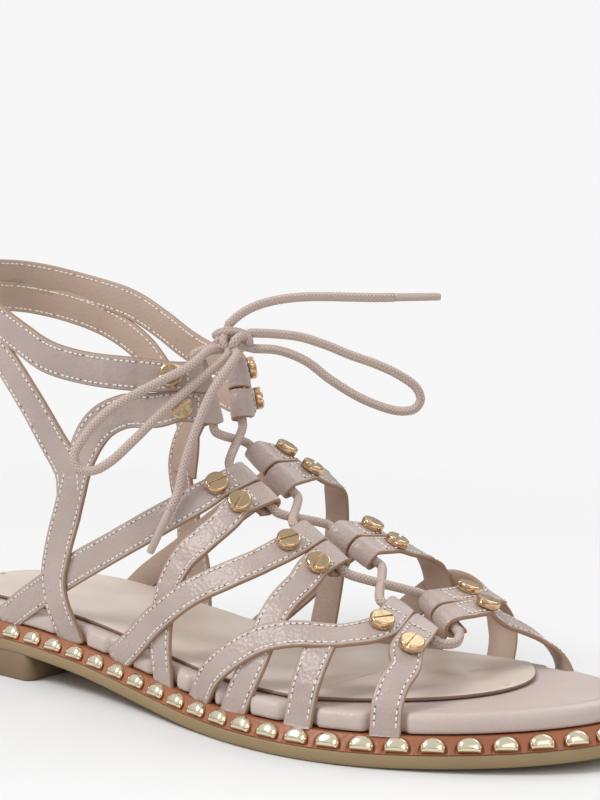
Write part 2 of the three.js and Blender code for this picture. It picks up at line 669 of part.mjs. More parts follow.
// Slotted screw studs, one on each strap beside its loop
const screwSides = new Map([[-1, "outer"], [1, "inner"]]);
for (const side of [-1, 1]) {
  TABS.flat().forEach((name, i) => {
    const { place, out } = screwSeat(TABS[Math.floor(i / 2)], side, i % 2 ? 1 : -1);
    const head = new THREE.CylinderGeometry(SCREW_RADIUS, SCREW_RADIUS, SCREW_HEIGHT, 8);
    head.translate(0, SCREW_HEIGHT / 2, 0);
    const slot = new THREE.BoxGeometry(SLOT_WIDTH, 2 * SLOT_DEPTH, 3 * SCREW_RADIUS);
    slot.translate(0, SCREW_HEIGHT, 0);
    const turn = new THREE.Quaternion().setFromUnitVectors(new THREE.Vector3(0, 1, 0), out);
    const body = geometryOf(solid(head).subtract(solid(slot)));
    body.applyQuaternion(turn);
    body.translate(place.x, place.y, place.z);
    addPiece(`screw_${name}_${screwSides.get(side)}`, body, gold);
  });
}

// Lace: threaded runs through the loops in one, then the knot, loops and ends of the bow
function cordSolid(points, radius, spacing) {
  const path = new THREE.CatmullRomCurve3(points, false, "centripetal");
  const circle = new THREE.Shape(
    Array.from({ length: CORD_SIDES }, (_, i) => {
      const turn = (i / CORD_SIDES) * 2 * Math.PI;
      return new THREE.Vector2(radius * Math.cos(turn), radius * Math.sin(turn));
    }),
  );
  const geometry = new THREE.ExtrudeGeometry(circle, {
    steps: Math.max(4, Math.round(path.getLength() / spacing)),
    extrudePath: path,
  });
  return solid(geometry);
}

// A threaded run of lace, with one ring of points at each place that it is led through
function threadSolid(points) {
  const sides = 6;
  let across = new THREE.Vector3(0, 0, 1);
  const rings = points.map((point, i) => {
    const after = points[Math.min(i + 1, points.length - 1)];
    const tangent = after.clone().sub(points[Math.max(i - 1, 0)]).normalize();
    across = across.addScaledVector(tangent, -across.dot(tangent)).normalize();
    const over = tangent.clone().cross(across);
    return Array.from({ length: sides }, (_, k) => {
      const turn = (k / sides) * 2 * Math.PI;
      return point
        .clone()
        .addScaledVector(across, LACE_RADIUS * Math.cos(turn))
        .addScaledVector(over, LACE_RADIUS * Math.sin(turn));
    });
  });
  return solid(loft(rings, fan));
}

// Lace leads straight out of a loop before it turns across to the next tab
const LEAD = 2.2;
function runThrough(sides) {
  return [3, 2, 1, 0].flatMap((level, i) => {
    const tab = tabs.filter((t) => t.side === sides[i])[level];
    const reach = tab.length / 2;
    return [-reach - LEAD, -reach, reach, reach + LEAD].map((d) =>
      tab.middle.clone().addScaledVector(tab.axis, d),
    );
  });
}
const runs = [runThrough([1, -1, 1, -1]), runThrough([-1, 1, -1, 1])];
const barEnds = runs.map((run) => run.at(-1));
const barMiddle = barEnds[0].clone().lerp(barEnds[1], 0.5).add(new THREE.Vector3(LEAD, 0, -LEAD / 2));
const bar = threadSolid([runs[0].at(-2), barEnds[0], barMiddle, barEnds[1], runs[1].at(-2)]);
addPiece("lace_crossings", geometryOf(joined([...runs.map(threadSolid), bar])), cord);

for (const [name, places] of Object.entries(BOW)) {
  const path = places.map((p) => new THREE.Vector3(...p));
  addPiece(name, geometryOf(cordSolid(path, LACE_RADIUS, CORD_STEP)), cord);
}
for (const side of ["inner", "outer"]) {
  const [before, last] = BOW[`lace_end_${side}`].slice(-2).map((p) => new THREE.Vector3(...p));
  const run = last.clone().sub(before).normalize();
  const middle = last.clone().addScaledVector(run, GAP + TIP_LENGTH / 2);
  const tip = cylinderAlong(TIP_RADIUS, middle, run, TIP_LENGTH, CORD_SIDES);
  addPiece(`lace_tip_${side}`, geometryOf(tip), aglet);
}
const knot = new THREE.SphereGeometry(0.5, 10, 6);
knot.scale(KNOT_LENGTH, KNOT_BREADTH, KNOT_HEIGHT);
knot.translate(...KNOT_PLACE);
addPiece("lace_knot", knot, cord);

export default sandal;
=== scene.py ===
# %% [markdown]
# A flat gladiator sandal, dressed in Blender over a CAD frame.
# The frame gives exact solids in metres. Every visible piece below is built on the same sizes,
# so it needs no fitting: the straps lie on the same last, and the sole follows the same outline.

# %% Load the frame
import math

import bmesh
import bpy
import numpy as np
from mathutils import Matrix, Vector


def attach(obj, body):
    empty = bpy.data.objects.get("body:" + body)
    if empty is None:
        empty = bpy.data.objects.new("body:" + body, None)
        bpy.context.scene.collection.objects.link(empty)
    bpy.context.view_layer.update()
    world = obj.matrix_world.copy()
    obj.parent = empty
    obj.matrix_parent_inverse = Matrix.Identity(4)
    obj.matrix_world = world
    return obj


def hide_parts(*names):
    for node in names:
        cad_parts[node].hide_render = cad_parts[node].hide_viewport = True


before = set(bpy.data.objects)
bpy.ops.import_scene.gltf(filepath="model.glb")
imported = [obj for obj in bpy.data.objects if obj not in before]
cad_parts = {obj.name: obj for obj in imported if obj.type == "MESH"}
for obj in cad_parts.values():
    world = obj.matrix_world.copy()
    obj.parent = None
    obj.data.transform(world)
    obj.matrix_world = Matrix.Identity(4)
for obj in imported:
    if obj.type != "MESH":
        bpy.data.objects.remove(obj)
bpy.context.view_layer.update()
MM = 0.001

# %% [markdown]
# The camera comes first. It stands at the photograph's viewpoint: about 37 degrees round from
# the side of the shoe and 10 degrees above it. The picture is cut off centre, so the lens is
# shifted instead of turned.

# %% Camera
FRAME_WIDTH, FRAME_HEIGHT = 600, 800
FOCAL_PIXELS = 1719.8
CENTRE_PIXELS = (313.52, 543.65)  # where the camera's axis meets the picture
CAMERA_PLACE = (0.43798, -0.41931, 0.14117)
SENSOR_WIDTH = 36
YAW, PITCH, ROLL = (math.radians(a) for a in (36.99, 9.76, 0.34))
camera_back = Vector((math.sin(YAW) * math.cos(PITCH), -math.cos(YAW) * math.cos(PITCH), math.sin(PITCH)))
level_right = Vector((math.cos(YAW), math.sin(YAW), 0))
level_up = camera_back.cross(level_right)
camera_right = level_right * math.cos(ROLL) + level_up * math.sin(ROLL)
camera_up = level_up * math.cos(ROLL) - level_right * math.sin(ROLL)
camera_data = bpy.data.cameras.new("camera")
camera = bpy.data.objects.new("camera", camera_data)
bpy.context.scene.collection.objects.link(camera)
bpy.context.scene.camera = camera
turn = Matrix((camera_right, camera_up, camera_back)).transposed().to_4x4()
camera.matrix_world = Matrix.Translation(Vector(CAMERA_PLACE)) @ turn
camera_data.sensor_width = SENSOR_WIDTH
camera_data.lens = FOCAL_PIXELS * SENSOR_WIDTH / FRAME_HEIGHT
camera_data.shift_x = (FRAME_WIDTH / 2 - CENTRE_PIXELS[0]) / FRAME_HEIGHT
camera_data.shift_y = (CENTRE_PIXELS[1] - FRAME_HEIGHT / 2) / FRAME_HEIGHT
camera_data.clip_start = 0.01
camera_data.clip_end = 50

# %% [markdown]
# Smooth curves are the base of everything here. A centripetal Catmull-Rom curve passes through
# each of its points and never loops back between two that lie close together.


# %% Curve helpers
def spline_at(points, places, closed=False):
    """The curve through the points, at places from 0 to 1."""
    points = np.asarray(points, float)
    count = len(points)
    spans = count if closed else count - 1
    found = []
    for place in np.atleast_1d(places):
        at = min(max(place, 0), 1) * spans
        i = min(int(at), spans - 1)
        t = at - i
        b, c = points[i % count], points[(i + 1) % count]
        a = points[(i - 1) % count] if closed or i > 0 else 2 * b - c
        d = points[(i + 2) % count] if closed or i + 2 < count else 2 * c - b
        da, db, dc = (max(np.linalg.norm(q - p) ** 0.5, 1e-4) for p, q in ((a, b), (b, c), (c, d)))
        start = db * ((b - a) / da - (c - a) / (da + db) + (c - b) / db)
        end = db * ((c - b) / db - (d - b) / (db + dc) + (d - c) / dc)
        t2, t3 = t * t, t * t * t
        found.append(
            b * (2 * t3 - 3 * t2 + 1) + start * (t3 - 2 * t2 + t) + c * (3 * t2 - 2 * t3) + end * (t3 - t2)
        )
    return np.array(found)


def unit(rows):
    """Each row at length 1."""
    return rows / np.maximum(np.linalg.norm(rows, axis=-1, keepdims=True), 1e-9)


def lengths_along(points):
    """The distance of each point from the first, along the points."""
    return np.r_[0, np.cumsum(np.linalg.norm(np.diff(points, axis=0), axis=1))]


def evenly(points, step, *others):
    """The same path at even steps, with the other columns carried along."""
    distance = lengths_along(points)
    count = max(2, int(round(distance[-1] / step)) + 1)
    at = np.linspace(0, distance[-1], count)

    def pick(rows):
        rows = np.asarray(rows, float)
        if rows.ndim == 1:
            return np.interp(at, distance, rows)
        return np.stack([np.interp(at, distance, column) for column in rows.T], -1)

    return [pick(points), *(pick(rows) for rows in others), at]


def smoothstep(x, low, high):
    """From 0 below low to 1 above high, with no corner."""
    t = np.clip((x - low) / (high - low), 0, 1)
    return t * t * (3 - 2 * t)


# %% [markdown]
# The sizes are the ones that the CAD solids use, in millimetres: the sole's outline as shares of
# its length, then the sections of the foot that the straps lie on, one set for each side.

# %% Sole sizes
SOLE_LENGTH = 264
HEEL_BACK = -32
BALL_LITTLE, BALL_BIG = 51.9, 42.9
OUTSOLE_THICKNESS = 3.9
HEEL_RISE = 9
HEEL_LENGTH = 66
TOE_SPRING = 3.8
WELT_HEIGHT = 4.5
WELT_INSET = 3.7
FOOTBED_THICKNESS = 5.9
FOOTBED_INSET = 4.3
PAD_INSET = 9.6
PAD_LENGTH = 226
STRAP_THICKNESS = 1.7
GAP = 0.3

# %% [markdown]
# The two sides of a foot differ, so each has its own outline and its own sections. A section
# says where its curve starts on the ridge, where it ends at the sole, and how full it is
# between.

# %% Outline and sections of the last
LITTLE_SIDE = [  # share of the length, share of the half breadth
    (0, 0), (0.012, 0.242), (0.035, 0.429), (0.08, 0.593), (0.15, 0.692), (0.25, 0.725),
    (0.35, 0.754), (0.45, 0.831), (0.55, 0.934), (0.63, 1), (0.7, 1), (0.77, 0.923), (0.84, 0.769),
    (0.9, 0.585), (0.95, 0.375), (0.985, 0.14),
]
BIG_SIDE = [  # share of the length, share of the half breadth
    (0.012, 0.259), (0.035, 0.459), (0.08, 0.635), (0.15, 0.729), (0.25, 0.694), (0.35, 0.635),
    (0.45, 0.647), (0.55, 0.753), (0.65, 0.906), (0.73, 1), (0.8, 1), (0.87, 0.906), (0.93, 0.729),
    (0.97, 0.56), (0.992, 0.37), (1, 0.15),
]
SECTION_COLUMNS = ("ridge", "up", "side", "back", "low", "low_half", "top_half", "crown")
LITTLE_SECTIONS = [
    (0.818, 0.24, 0.841, 0, 0.75, 0.81, 0.47, 0.1),
    (0.769, 0.3, 0.78, 0, 0.75, 0.92, 0.49, 0.1),
    (0.708, 0.385, 0.697, 0, 0.7, 1, 0.51, 0),
    (0.64, 0.485, 0.606, 0, 0.6, 0.98, 0.49, 0),
    (0.576, 0.595, 0.523, 0, 0.55, 0.96, 0.49, 0),
    (0.515, 0.69, 0.424, 0, 0.5, 0.89, 0.51, 0),
    (0.477, 0.79, 0.318, 0, 0.5, 0.81, 0.6, 0),
    (0.458, 0.89, 0.205, 0, 0.45, 0.77, 0.72, 0),
    (0.453, 0.95, 0.091, 0, 0.25, 0.85, 0.81, 0),
    (0.451, 0.98, 0.011, 0.45, 0.05, 0.94, 0.89, 0),
    (0.451, 0.995, 0.015, 0.9, 0, 0.94, 0.94, 0),
    (0.451, 1.01, 0.034, 1.35, 0, 0.94, 0.94, 0),
]
BIG_SECTIONS = [
    (0.818, 0.24, 0.894, 0, 0.73, 0.97, 0.15, 0.84),
    (0.769, 0.3, 0.833, 0, 0.6, 1.25, 0.3, 0.8),
    (0.708, 0.385, 0.75, 0, 0.76, 1.44, 0.82, -0.04),
    (0.64, 0.485, 0.652, 0, 0.96, 1.24, 0.76, -0.05),
    (0.576, 0.595, 0.561, 0, 0.9, 1.16, 0.65, -0.13),
    (0.515, 0.69, 0.455, 0, 1, 1.4, 0.6, 0.04),
    (0.477, 0.79, 0.337, 0, 0.84, 1.04, 0.55, -0.05),
    (0.458, 0.89, 0.212, 0, 0.6, 0.77, 0.72, 0.05),
    (0.453, 0.95, 0.091, 0, 0.28, 0.81, 0.82, 0),
    (0.451, 0.98, 0.011, 0.45, 0.05, 0.94, 0.89, 0),
    (0.451, 0.995, 0.015, 0.9, 0, 0.94, 0.94, 0),
    (0.451, 1.01, 0.034, 1.35, 0, 0.94, 0.94, 0),
]

# %% [markdown]
# A strap is a few places on the last: which section it is on, how far round it has come, how far
# it is lifted over another strap, and how it is shifted on the big-toe side.

# %% Strap tables
STRAPS = {  # name: width, then rows of section, way round, lift and inner-side shift
    "toe_back": (
        9,
        [
            (1.78, 0.1, 0, -0.21), (1.58, 0.31, 0, -0.18), (1.93, 0.49, 0.3, -0.15),
            (2.5, 0.6, 0.9, -0.12), (2.91, 0.68, 0.9, -0.09), (3.26, 0.79, 0.9, -0.06),
            (3.54, 0.89, 0.4, -0.03), (3.67, 0.985, 0, 0),
        ],
    ),
    "toe_front": (
        9,
        [
            (1.17, 0.1, 0, -0.29), (0.88, 0.35, 0, -0.23), (0.72, 0.49, 0, -0.17),
            (0.73, 0.65, 0, -0.12), (0.75, 0.81, 0, -0.06), (0.8, 0.985, 0, 0),
        ],
    ),
    "toe_middle": (
        9.5,
        [
            (2.15, 0.5, 0, 0.05), (2.05, 0.63, 0, 0.03), (1.99, 0.8, 0, 0.02), (1.98, 0.985, 0, 0),
        ],
    ),
    "instep_back": (
        9.5,
        [
            (3.68, 0.1, 0, -0.11), (3.66, 0.25, 0, -0.09), (3.78, 0.39, 0, -0.08),
            (4, 0.5, 0.4, -0.06), (4.41, 0.64, 0.9, -0.05), (4.78, 0.78, 0.9, -0.03),
            (5.05, 0.9, 0.4, -0.02), (5.26, 0.985, 0, 0),
        ],
    ),
    "instep_front": (
        9.5,
        [
            (3.08, 0.1, 0, 0), (3.05, 0.24, 0, 0), (3.02, 0.36, 0, 0), (3.02, 0.48, 0, 0),
            (2.97, 0.61, 0, 0), (2.89, 0.78, 0, 0), (2.93, 0.9, 0, 0), (2.97, 0.985, 0, 0),
        ],
    ),
    "ankle_back": (
        10,
        [
            (5.3, 0.1, 0, 0.45), (5.36, 0.25, 0, 0.39), (5.52, 0.38, 0, 0.34),
            (5.86, 0.53, 0, 0.28), (6.28, 0.67, 0, 0.23), (6.62, 0.77, 0, 0.17),
            (6.88, 0.86, 0, 0.11), (7.08, 0.94, 0, 0.06), (7.15, 0.985, 0, 0),
        ],
    ),
    "ankle_front": (
        9.5,
        [
            (4.66, 0.1, 0, 0.27), (4.76, 0.24, 0, 0.23), (4.74, 0.33, 0, 0.19),
            (4.81, 0.44, 0, 0.15), (4.93, 0.56, 0, 0.12), (4.85, 0.7, 0, 0.08),
            (4.64, 0.85, 0, 0.04), (4.43, 0.985, 0, 0),
        ],
    ),
    "collar": (
        10.6,
        [
            (11, 0.08, 0, 0), (10.6, 0.16, 0, 0), (10.45, 0.27, 0, 0), (10.45, 0.36, 0, 0),
            (10.52, 0.44, 0, 0.06), (10.67, 0.51, 0, 0.08), (10.8, 0.6, 0, 0.1),
            (10.84, 0.75, 0, 0.06), (10.87, 0.88, 0, 0.02), (10.87, 1, 0, 0),
        ],
    ),
    "upright": (
        11,
        [
            (7.3, 0.08, 0, 0), (8.2, 0.16, 0, 0), (8.7, 0.21, 0, 0), (9.2, 0.27, 0, 0.2),
            (9.05, 0.33, 0, 0.6), (8.45, 0.41, 0, 0.75), (7.95, 0.49, 0, 0.62),
            (7.49, 0.59, 0.4, 0.5), (7.16, 0.69, 0.9, 0.37), (6.81, 0.81, 0.9, 0.25),
            (6.5, 0.89, 0.8, 0.12), (6.12, 0.985, 0, 0),
        ],
    ),
    "heel_sling": (
        10.6,
        [
            (7.8, 0.52, 0, 0.5), (8.45, 0.44, 0, 0.35), (9.2, 0.435, 0, 0.1), (9.85, 0.475, 0, 0),
            (10.4, 0.56, 0, 0), (10.62, 0.68, 0, 0), (10.68, 0.85, 0, 0), (10.68, 1, 0, 0),
        ],
    ),
}
TABS = (  # the back and the front strap of each tab, from the toe up
    ("toe_back", "toe_front"),
    ("instep_back", "instep_front"),
    ("ankle_back", "ankle_front"),
    ("collar", "upright"),
)


# %% [markdown]
# The loops and ends of the bow are drawn point by point, in millimetres, because a bow falls
# freely.

# %% Bow points
BOW = {
    "lace_loop_outer": [
        (88.2, -6, 109.7), (89.3, -12, 109.2), (88.9, -20, 105), (81.5, -30, 99), (74, -39, 92.5),
        (69.5, -44.5, 85.5), (67, -48, 78.5), (68.5, -47.5, 74.5), (72, -45, 74),
        (75.5, -41.5, 76.5), (80, -35.5, 83), (85.6, -26, 93), (91.6, -15, 102.6),
        (92.2, -5.4, 107.7),
    ],
    "lace_loop_inner": [
        (94.5, 3.05, 114.7), (100, 8.3, 114.4), (106.5, 13, 113.5), (113, 18, 111),
        (119, 22.5, 108), (126, 27.5, 105), (132, 32, 101.5), (136, 35.3, 97.6), (137, 36.2, 93.8),
        (135.5, 35, 91), (131.5, 32.2, 90.3), (123, 25.5, 93.7), (114.5, 18.8, 100), (108, 14, 106),
        (101.5, 8.3, 109.3), (95.7, 3.3, 109.8),
    ],
    "lace_end_inner": [
        (88.2, -0.3, 117.1), (91, 1.8, 120.2), (95, 4.4, 122.9), (100, 8.3, 124.8),
        (106.5, 13, 125.9), (113, 18, 126.1), (119, 22.4, 126), (126, 27.6, 125.9),
        (130, 30.7, 126),
    ],
    "lace_end_outer": [
        (95.2, -4.2, 108.4), (96.6, -8.5, 106.3), (97, -12.5, 103.2), (96, -17.5, 97.5),
        (94.5, -22, 88.5), (93, -25, 80), (91.6, -26.5, 73), (91, -28, 67), (90, -30.5, 62),
    ],
}

# %% [markdown]
# The outline is drawn once as a closed curve and walked at even steps, so that studs, welt and
# footbed all share it. The heights along the sole come from one function too.

# %% The outline of the sole
OUTLINE_STEPS = 1200


def closed_outline():
    """Points round the sole, from the heel up the little-toe side and back."""
    corners = [(HEEL_BACK + a * SOLE_LENGTH, -o * BALL_LITTLE, 0) for a, o in LITTLE_SIDE]
    corners += [(HEEL_BACK + a * SOLE_LENGTH, o * BALL_BIG, 0) for a, o in reversed(BIG_SIDE)]
    dense = spline_at(corners, np.linspace(0, 1, 4801), closed=True)
    return evenly(dense, lengths_along(dense)[-1] / OUTLINE_STEPS)[0][:OUTLINE_STEPS]


outline = closed_outline()
outline_length = lengths_along(np.r_[outline, outline[:1]])[-1]
outline_run = unit(np.roll(outline, -4, 0) - np.roll(outline, 3, 0))
outline_out = np.stack([outline_run[:, 1], -outline_run[:, 0], 0 * outline_run[:, 0]], -1)
toe_index = int(np.argmax(outline[:, 0]))
print("outline", round(outline_length, 1), "mm round, toe at", outline[toe_index].round(1))


def on_outline(place):
    """Points and outward directions at places counted in fine steps."""
    place = np.asarray(place, float) % OUTLINE_STEPS
    low = place.astype(int) % OUTLINE_STEPS
    part = (place - np.floor(place))[:, None]
    high = (low + 1) % OUTLINE_STEPS
    return outline[low] * (1 - part) + outline[high] * part, outline_out[low]


def half_breadth(x, side):
    """How far out the outline lies on one side."""
    half = outline[: toe_index + 1] if side < 0 else outline[toe_index:]
    return abs(half[np.argmin(abs(half[:, 0] - x)), 1])


def seam_height(x):
    """Top of the outsole, where the welt starts."""
    along = (np.asarray(x, float) - HEEL_BACK) / SOLE_LENGTH
    spring = np.maximum(0, (along - 0.72) / 0.28) ** 2
    return OUTSOLE_THICKNESS + HEEL_RISE * (1 - smoothstep(along, 0.19, 0.6)) + TOE_SPRING * spring


def welt_top(x):
    return seam_height(x) + WELT_HEIGHT


def bed_top(x):
    return welt_top(x) + FOOTBED_THICKNESS


# %% [markdown]
# The last is the foot-shaped form that a shoemaker pulls the straps over. Here it is a net of
# curves: a section number runs from the toes up to the ankle, and a second number runs round
# from the ridge of the foot to the sole. A strap is then a short list of places on this net.

# %% The last
ANKLE_HEIGHT = 100
FOOT_HALF_BREADTH = 47


def last_of(sections, side):
    """One side of the last, with its shares turned into millimetres."""
    column = {name: np.array(values, float) for name, values in zip(SECTION_COLUMNS, zip(*sections))}
    along = lambda share: HEEL_BACK + share * SOLE_LENGTH
    side_x = along(column["side"])
    ends_on_welt = column["back"] == 0
    reach = np.array([half_breadth(x, side) for x in side_x]) - (WELT_INSET + STRAP_THICKNESS + GAP)
    return {
        "side": side,
        "ridge_x": along(column["ridge"]),
        "ridge_z": column["up"] * ANKLE_HEIGHT,
        "foot_x": side_x,
        "foot_z": np.where(ends_on_welt, welt_top(side_x), column["back"] * ANKLE_HEIGHT),
        "foot_half": np.where(ends_on_welt, reach, 0),
        "low": column["low"],
        "crown": column["crown"],
        "low_half": column["low_half"] * FOOT_HALF_BREADTH,
        "top_half": column["top_half"] * FOOT_HALF_BREADTH,
    }


LASTS = {-1: last_of(LITTLE_SECTIONS, -1), 1: last_of(BIG_SECTIONS, 1)}


def between(values, place):
    """A smooth value between rows, with no overshoot."""
    final = len(values) - 1
    i = int(min(max(math.floor(place), 0), final - 1))
    t = place - i

    def slope(k):
        if k <= 0 or k >= final:
            return 0.5 * (values[min(k + 1, final)] - values[max(k - 1, 0)])
        before, after = values[k] - values[k - 1], values[k + 1] - values[k]
        return 0 if before * after <= 0 else 2 * before * after / (before + after)

    t2, t3 = t * t, t * t * t
    start = values[i] * (2 * t3 - 3 * t2 + 1) + slope(i) * (t3 - 2 * t2 + t)
    return start + values[i + 1] * (3 * t2 - 2 * t3) + slope(i + 1) * (t3 - t2)


def on_last(last, section, around):
    """A point on the last; around runs from 0 on the ridge to 1 at the sole."""
    value = lambda name: between(last[name], section)
    back = 1 - around
    share = (
        back**3 + 3 * back * back * around * (1 + value("crown")) + 3 * back * around * around * value("low")
    )
    half = 3 * back * back * around * value("top_half") + 3 * back * around * around * value("low_half")
    half += around**3 * value("foot_half")
    foot_x, foot_z = value("foot_x"), value("foot_z")
    x = foot_x + (value("ridge_x") - foot_x) * share
    return np.array([x, last["side"] * half, foot_z + (value("ridge_z") - foot_z) * share])


def out_of_last(last, section, around):
    """The outward direction at a point on the last."""
    nudge = 0.01
    a = min(max(around, nudge), 1 - nudge)
    s = min(max(section, nudge), len(last["low"]) - 1 - nudge)
    round_it = on_last(last, s, a + nudge) - on_last(last, s, a - nudge)
    forward = on_last(last, s - nudge, a) - on_last(last, s + nudge, a)
    return unit(last["side"] * np.cross(forward, round_it))


def strap_line(name, side):
    """Points on the middle of a strap and the outward direction at each."""
    width, rows = STRAPS[name]
    last = LASTS[side]
    places = [(s + (shift if side > 0 else 0), a) for s, a, _, shift in rows]
    outs = np.array([out_of_last(last, *place) for place in places])
    lifts = np.array([(row[2] + 0.5) * STRAP_THICKNESS for row in rows])[:, None]
    return np.array([on_last(last, *place) for place in places]) + outs * lifts, outs, width


# %% [markdown]
# Where two straps meet over the ridge they form a tab: their ends lie side by side, are doubled
# over a lace and sewn down behind it. The helpers give the tab's middle line, the axis of its
# folded loops, and where its two screws stand.

# %% Tabs
TUBE_RADIUS = 3.6
TAB_LIFT = 0.65
TAB_OVERLAP = 0.85
SCREW_RADIUS = 3.8
LEATHER = 1.4  # thickness of the visible strap


def tab_at(names, side, t):
    """Middle, outward and across directions, spacing and breadth of a tab, t rows down it."""
    lines = [strap_line(name, side) for name in names]

    def at(rows):
        if t <= 1:
            return rows[0] * (1 - t) + rows[1] * t
        return rows[1] * (2 - t) + rows[2] * (t - 1)

    out = unit(at(lines[0][1]) + at(lines[1][1]))
    across = at(lines[1][0]) - at(lines[0][0])
    spacing = np.linalg.norm(across)
    across = unit(across - out * across.dot(out))
    middle = 0.5 * (at(lines[0][0]) + at(lines[1][0]))
    return middle, out, across, spacing, spacing + TAB_OVERLAP * lines[0][2]


def loop_centre(names, side):
    middle, out, across, _, breadth = tab_at(names, side, 0)
    return middle + out * (TAB_LIFT + STRAP_THICKNESS / 2 - TUBE_RADIUS), out, across, breadth


def screw_seat(names, side, place):
    middle, out, across, spacing, _ = tab_at(names, side, 1)
    foot = middle + out * (TAB_LIFT + STRAP_THICKNESS / 2 + GAP)
    return foot + across * place * max(spacing, 2 * SCREW_RADIUS + 1) / 2, out, across


# %% [markdown]
# Every mesh goes through one helper, which turns its faces outward and scales it to metres.


# %% Mesh helpers
def add_mesh(name, points, faces, materials, face_slots=None, uvs=None):
    """A smooth mesh from points in millimetres; uvs holds one pair for each point."""
    mesh = bpy.data.meshes.new(name)
    mesh.from_pydata((np.asarray(points) * MM).tolist(), [], [list(map(int, f)) for f in faces])
    for material in materials:
        mesh.materials.append(material)
    if face_slots is not None:
        mesh.polygons.foreach_set("material_index", face_slots)
    if uvs is not None:
        layer = mesh.uv_layers.new(name="surface")
        corners = np.empty(len(mesh.loops), int)
        mesh.loops.foreach_get("vertex_index", corners)
        layer.data.foreach_set("uv", np.asarray(uvs, np.float32)[corners].ravel())
    mesh.shade_smooth()
    shape = bmesh.new()
    shape.from_mesh(mesh)
    bmesh.ops.recalc_face_normals(shape, faces=shape.faces)
    shape.to_mesh(mesh)
    shape.free()
    thing = bpy.data.objects.new(name, mesh)
    bpy.context.scene.collection.objects.link(thing)
    return thing


# %% [markdown]
# Most shapes here are rings of points joined by quads. A cap closes a sole shape from side to
# side.

# %% Faces between rings
def ring_faces(rings, count, start=0, closed_ends=True):
    """Quads between rings of count points, with an n-sided face on each end."""
    faces = []
    for r in range(rings - 1):
        for k in range(count):
            a, b = start + r * count + k, start + r * count + (k + 1) % count
            faces.append((a, b, b + count, a + count))
    if closed_ends:
        faces.append(tuple(start + k for k in range(count))[::-1])
        faces.append(tuple(start + (rings - 1) * count + k for k in range(count)))
    return faces


def sole_rings(levels, places):
    """Rings round the outline; a level is an inset and a height, each a number or a row of them."""
    base, out = on_outline(places)
    rings = []
    for inset, height in levels:
        ring = base - out * np.broadcast_to(inset, len(places))[:, None]
        ring[:, 2] = height(base[:, 0]) if callable(height) else height
        rings.append(ring)
    return rings


def cap_faces(count, start):
    """A flat cap on a ring that is symmetric along its length: quads between its two sides."""
    faces = []
    for k in range(1, count // 2):
        a, b = start + k, start + (count - k) % count
        c, d = start + (count - k - 1) % count, start + k + 1
        if d != c:
            faces.append((a, b, c, d))
        else:
            faces.append((a, b, c))
    faces.insert(0, (start, start + count - 1, start + 1))
    return faces


# %% [markdown]
# The outsole, the welt and the footbed are one kind of body: rings round the outline, each with
# its own inset and height. A soft top runs on in to the middle line.

# %% Bodies of the sole
TOP_SHARES = (0.16, 0.34, 0.52, 0.7, 0.86, 0.97)  # steps from the rim in to the middle line
MIDDLE_LINE = 2  # Y of the middle line
WAVE_DEPTH = 0.13


def top_rings(ring, height):
    """Rings from a rim in to the middle line, a little wavy, as moulded leather is."""
    rings = []
    opposite = np.roll(ring[::-1, 0], 1)
    for share in TOP_SHARES:
        inner = ring.copy()
        inner[:, 0] += share * 0.5 * (opposite - ring[:, 0])
        inner[:, 1] = ring[:, 1] * (1 - share) + MIDDLE_LINE * share
        wave = np.sin(inner[:, 0] * 0.11 + inner[:, 1] * 0.13)
        wave += np.sin(inner[:, 0] * 0.05 - inner[:, 1] * 0.21)
        inner[:, 2] = height(inner[:, 0]) + WAVE_DEPTH * share * wave
        rings.append(inner)
    return rings


def sole_body(name, levels, materials, places, extra=None, top=None):
    """A closed body between rings; extra is a second body with the second material."""
    rings = sole_rings(levels, places)
    if top:
        rings += top_rings(rings[-1], top)
    count = len(places)
    points = np.vstack(rings)
    faces = ring_faces(len(rings), count, closed_ends=False)
    faces += cap_faces(count, 0) + cap_faces(count, (len(rings) - 1) * count)
    face_slots = [0] * len(faces)
    if extra:
        extra_points, extra_faces = extra
        faces += [tuple(i + len(points) for i in f) for f in extra_faces]
        face_slots += [1] * len(extra_faces)
        points = np.vstack([points, extra_points])
    return add_mesh(name, points, faces, materials, face_slots)


# %% [markdown]
# A cord is a round tube with rounded ends. Its UV runs along it and round it in millimetres,
# which the braid needs.

# %% Tubes
END_ROUNDING = ((0.8, 0.3), (0.35, 0.5))  # share of the radius, and how far past the end


def tube(points, radius, sides=14, step=1.0):
    """Points and faces of a round tube along a path, with rounded ends."""
    path, at = evenly(np.asarray(points, float), step)
    run = unit(np.gradient(path, axis=0))
    across = unit(np.cross(run[0], (0.3, 0.2, 1)))
    turns = np.arange(sides) / sides * 2 * math.pi
    rows = []
    for centre, along in zip(path, run):
        across = unit(across - along * across.dot(along))
        over = np.cross(along, across)
        rows.append((centre, across, over))
    rings = []
    for grow, shift in END_ROUNDING[::-1]:
        centre, across, over = rows[0]
        rings.append(circle(centre - run[0] * shift * radius, across, over, radius * grow, turns))
    rings += [circle(*row, radius, turns) for row in rows]
    for grow, shift in END_ROUNDING:
        centre, across, over = rows[-1]
        rings.append(circle(centre + run[-1] * shift * radius, across, over, radius * grow, turns))
    at = np.r_[-0.5, -0.3, at, at[-1] + 0.3, at[-1] + 0.5]
    uvs = [(a, k / sides * 2 * math.pi * radius) for a in at for k in range(sides)]
    return np.vstack(rings), ring_faces(len(rings), sides), uvs


def circle(centre, across, over, radius, turns):
    return centre + radius * (np.cos(turns)[:, None] * across + np.sin(turns)[:, None] * over)


def joined_mesh(name, parts, materials):
    """One mesh of several tubes."""
    points, faces, uvs, start = [], [], [], 0
    for p, f, uv in parts:
        points.append(p)
        faces += [tuple(k + start for k in face) for face in f]
        uvs += list(uv)
        start += len(p)
    return add_mesh(name, np.vstack(points), faces, materials, None, uvs)


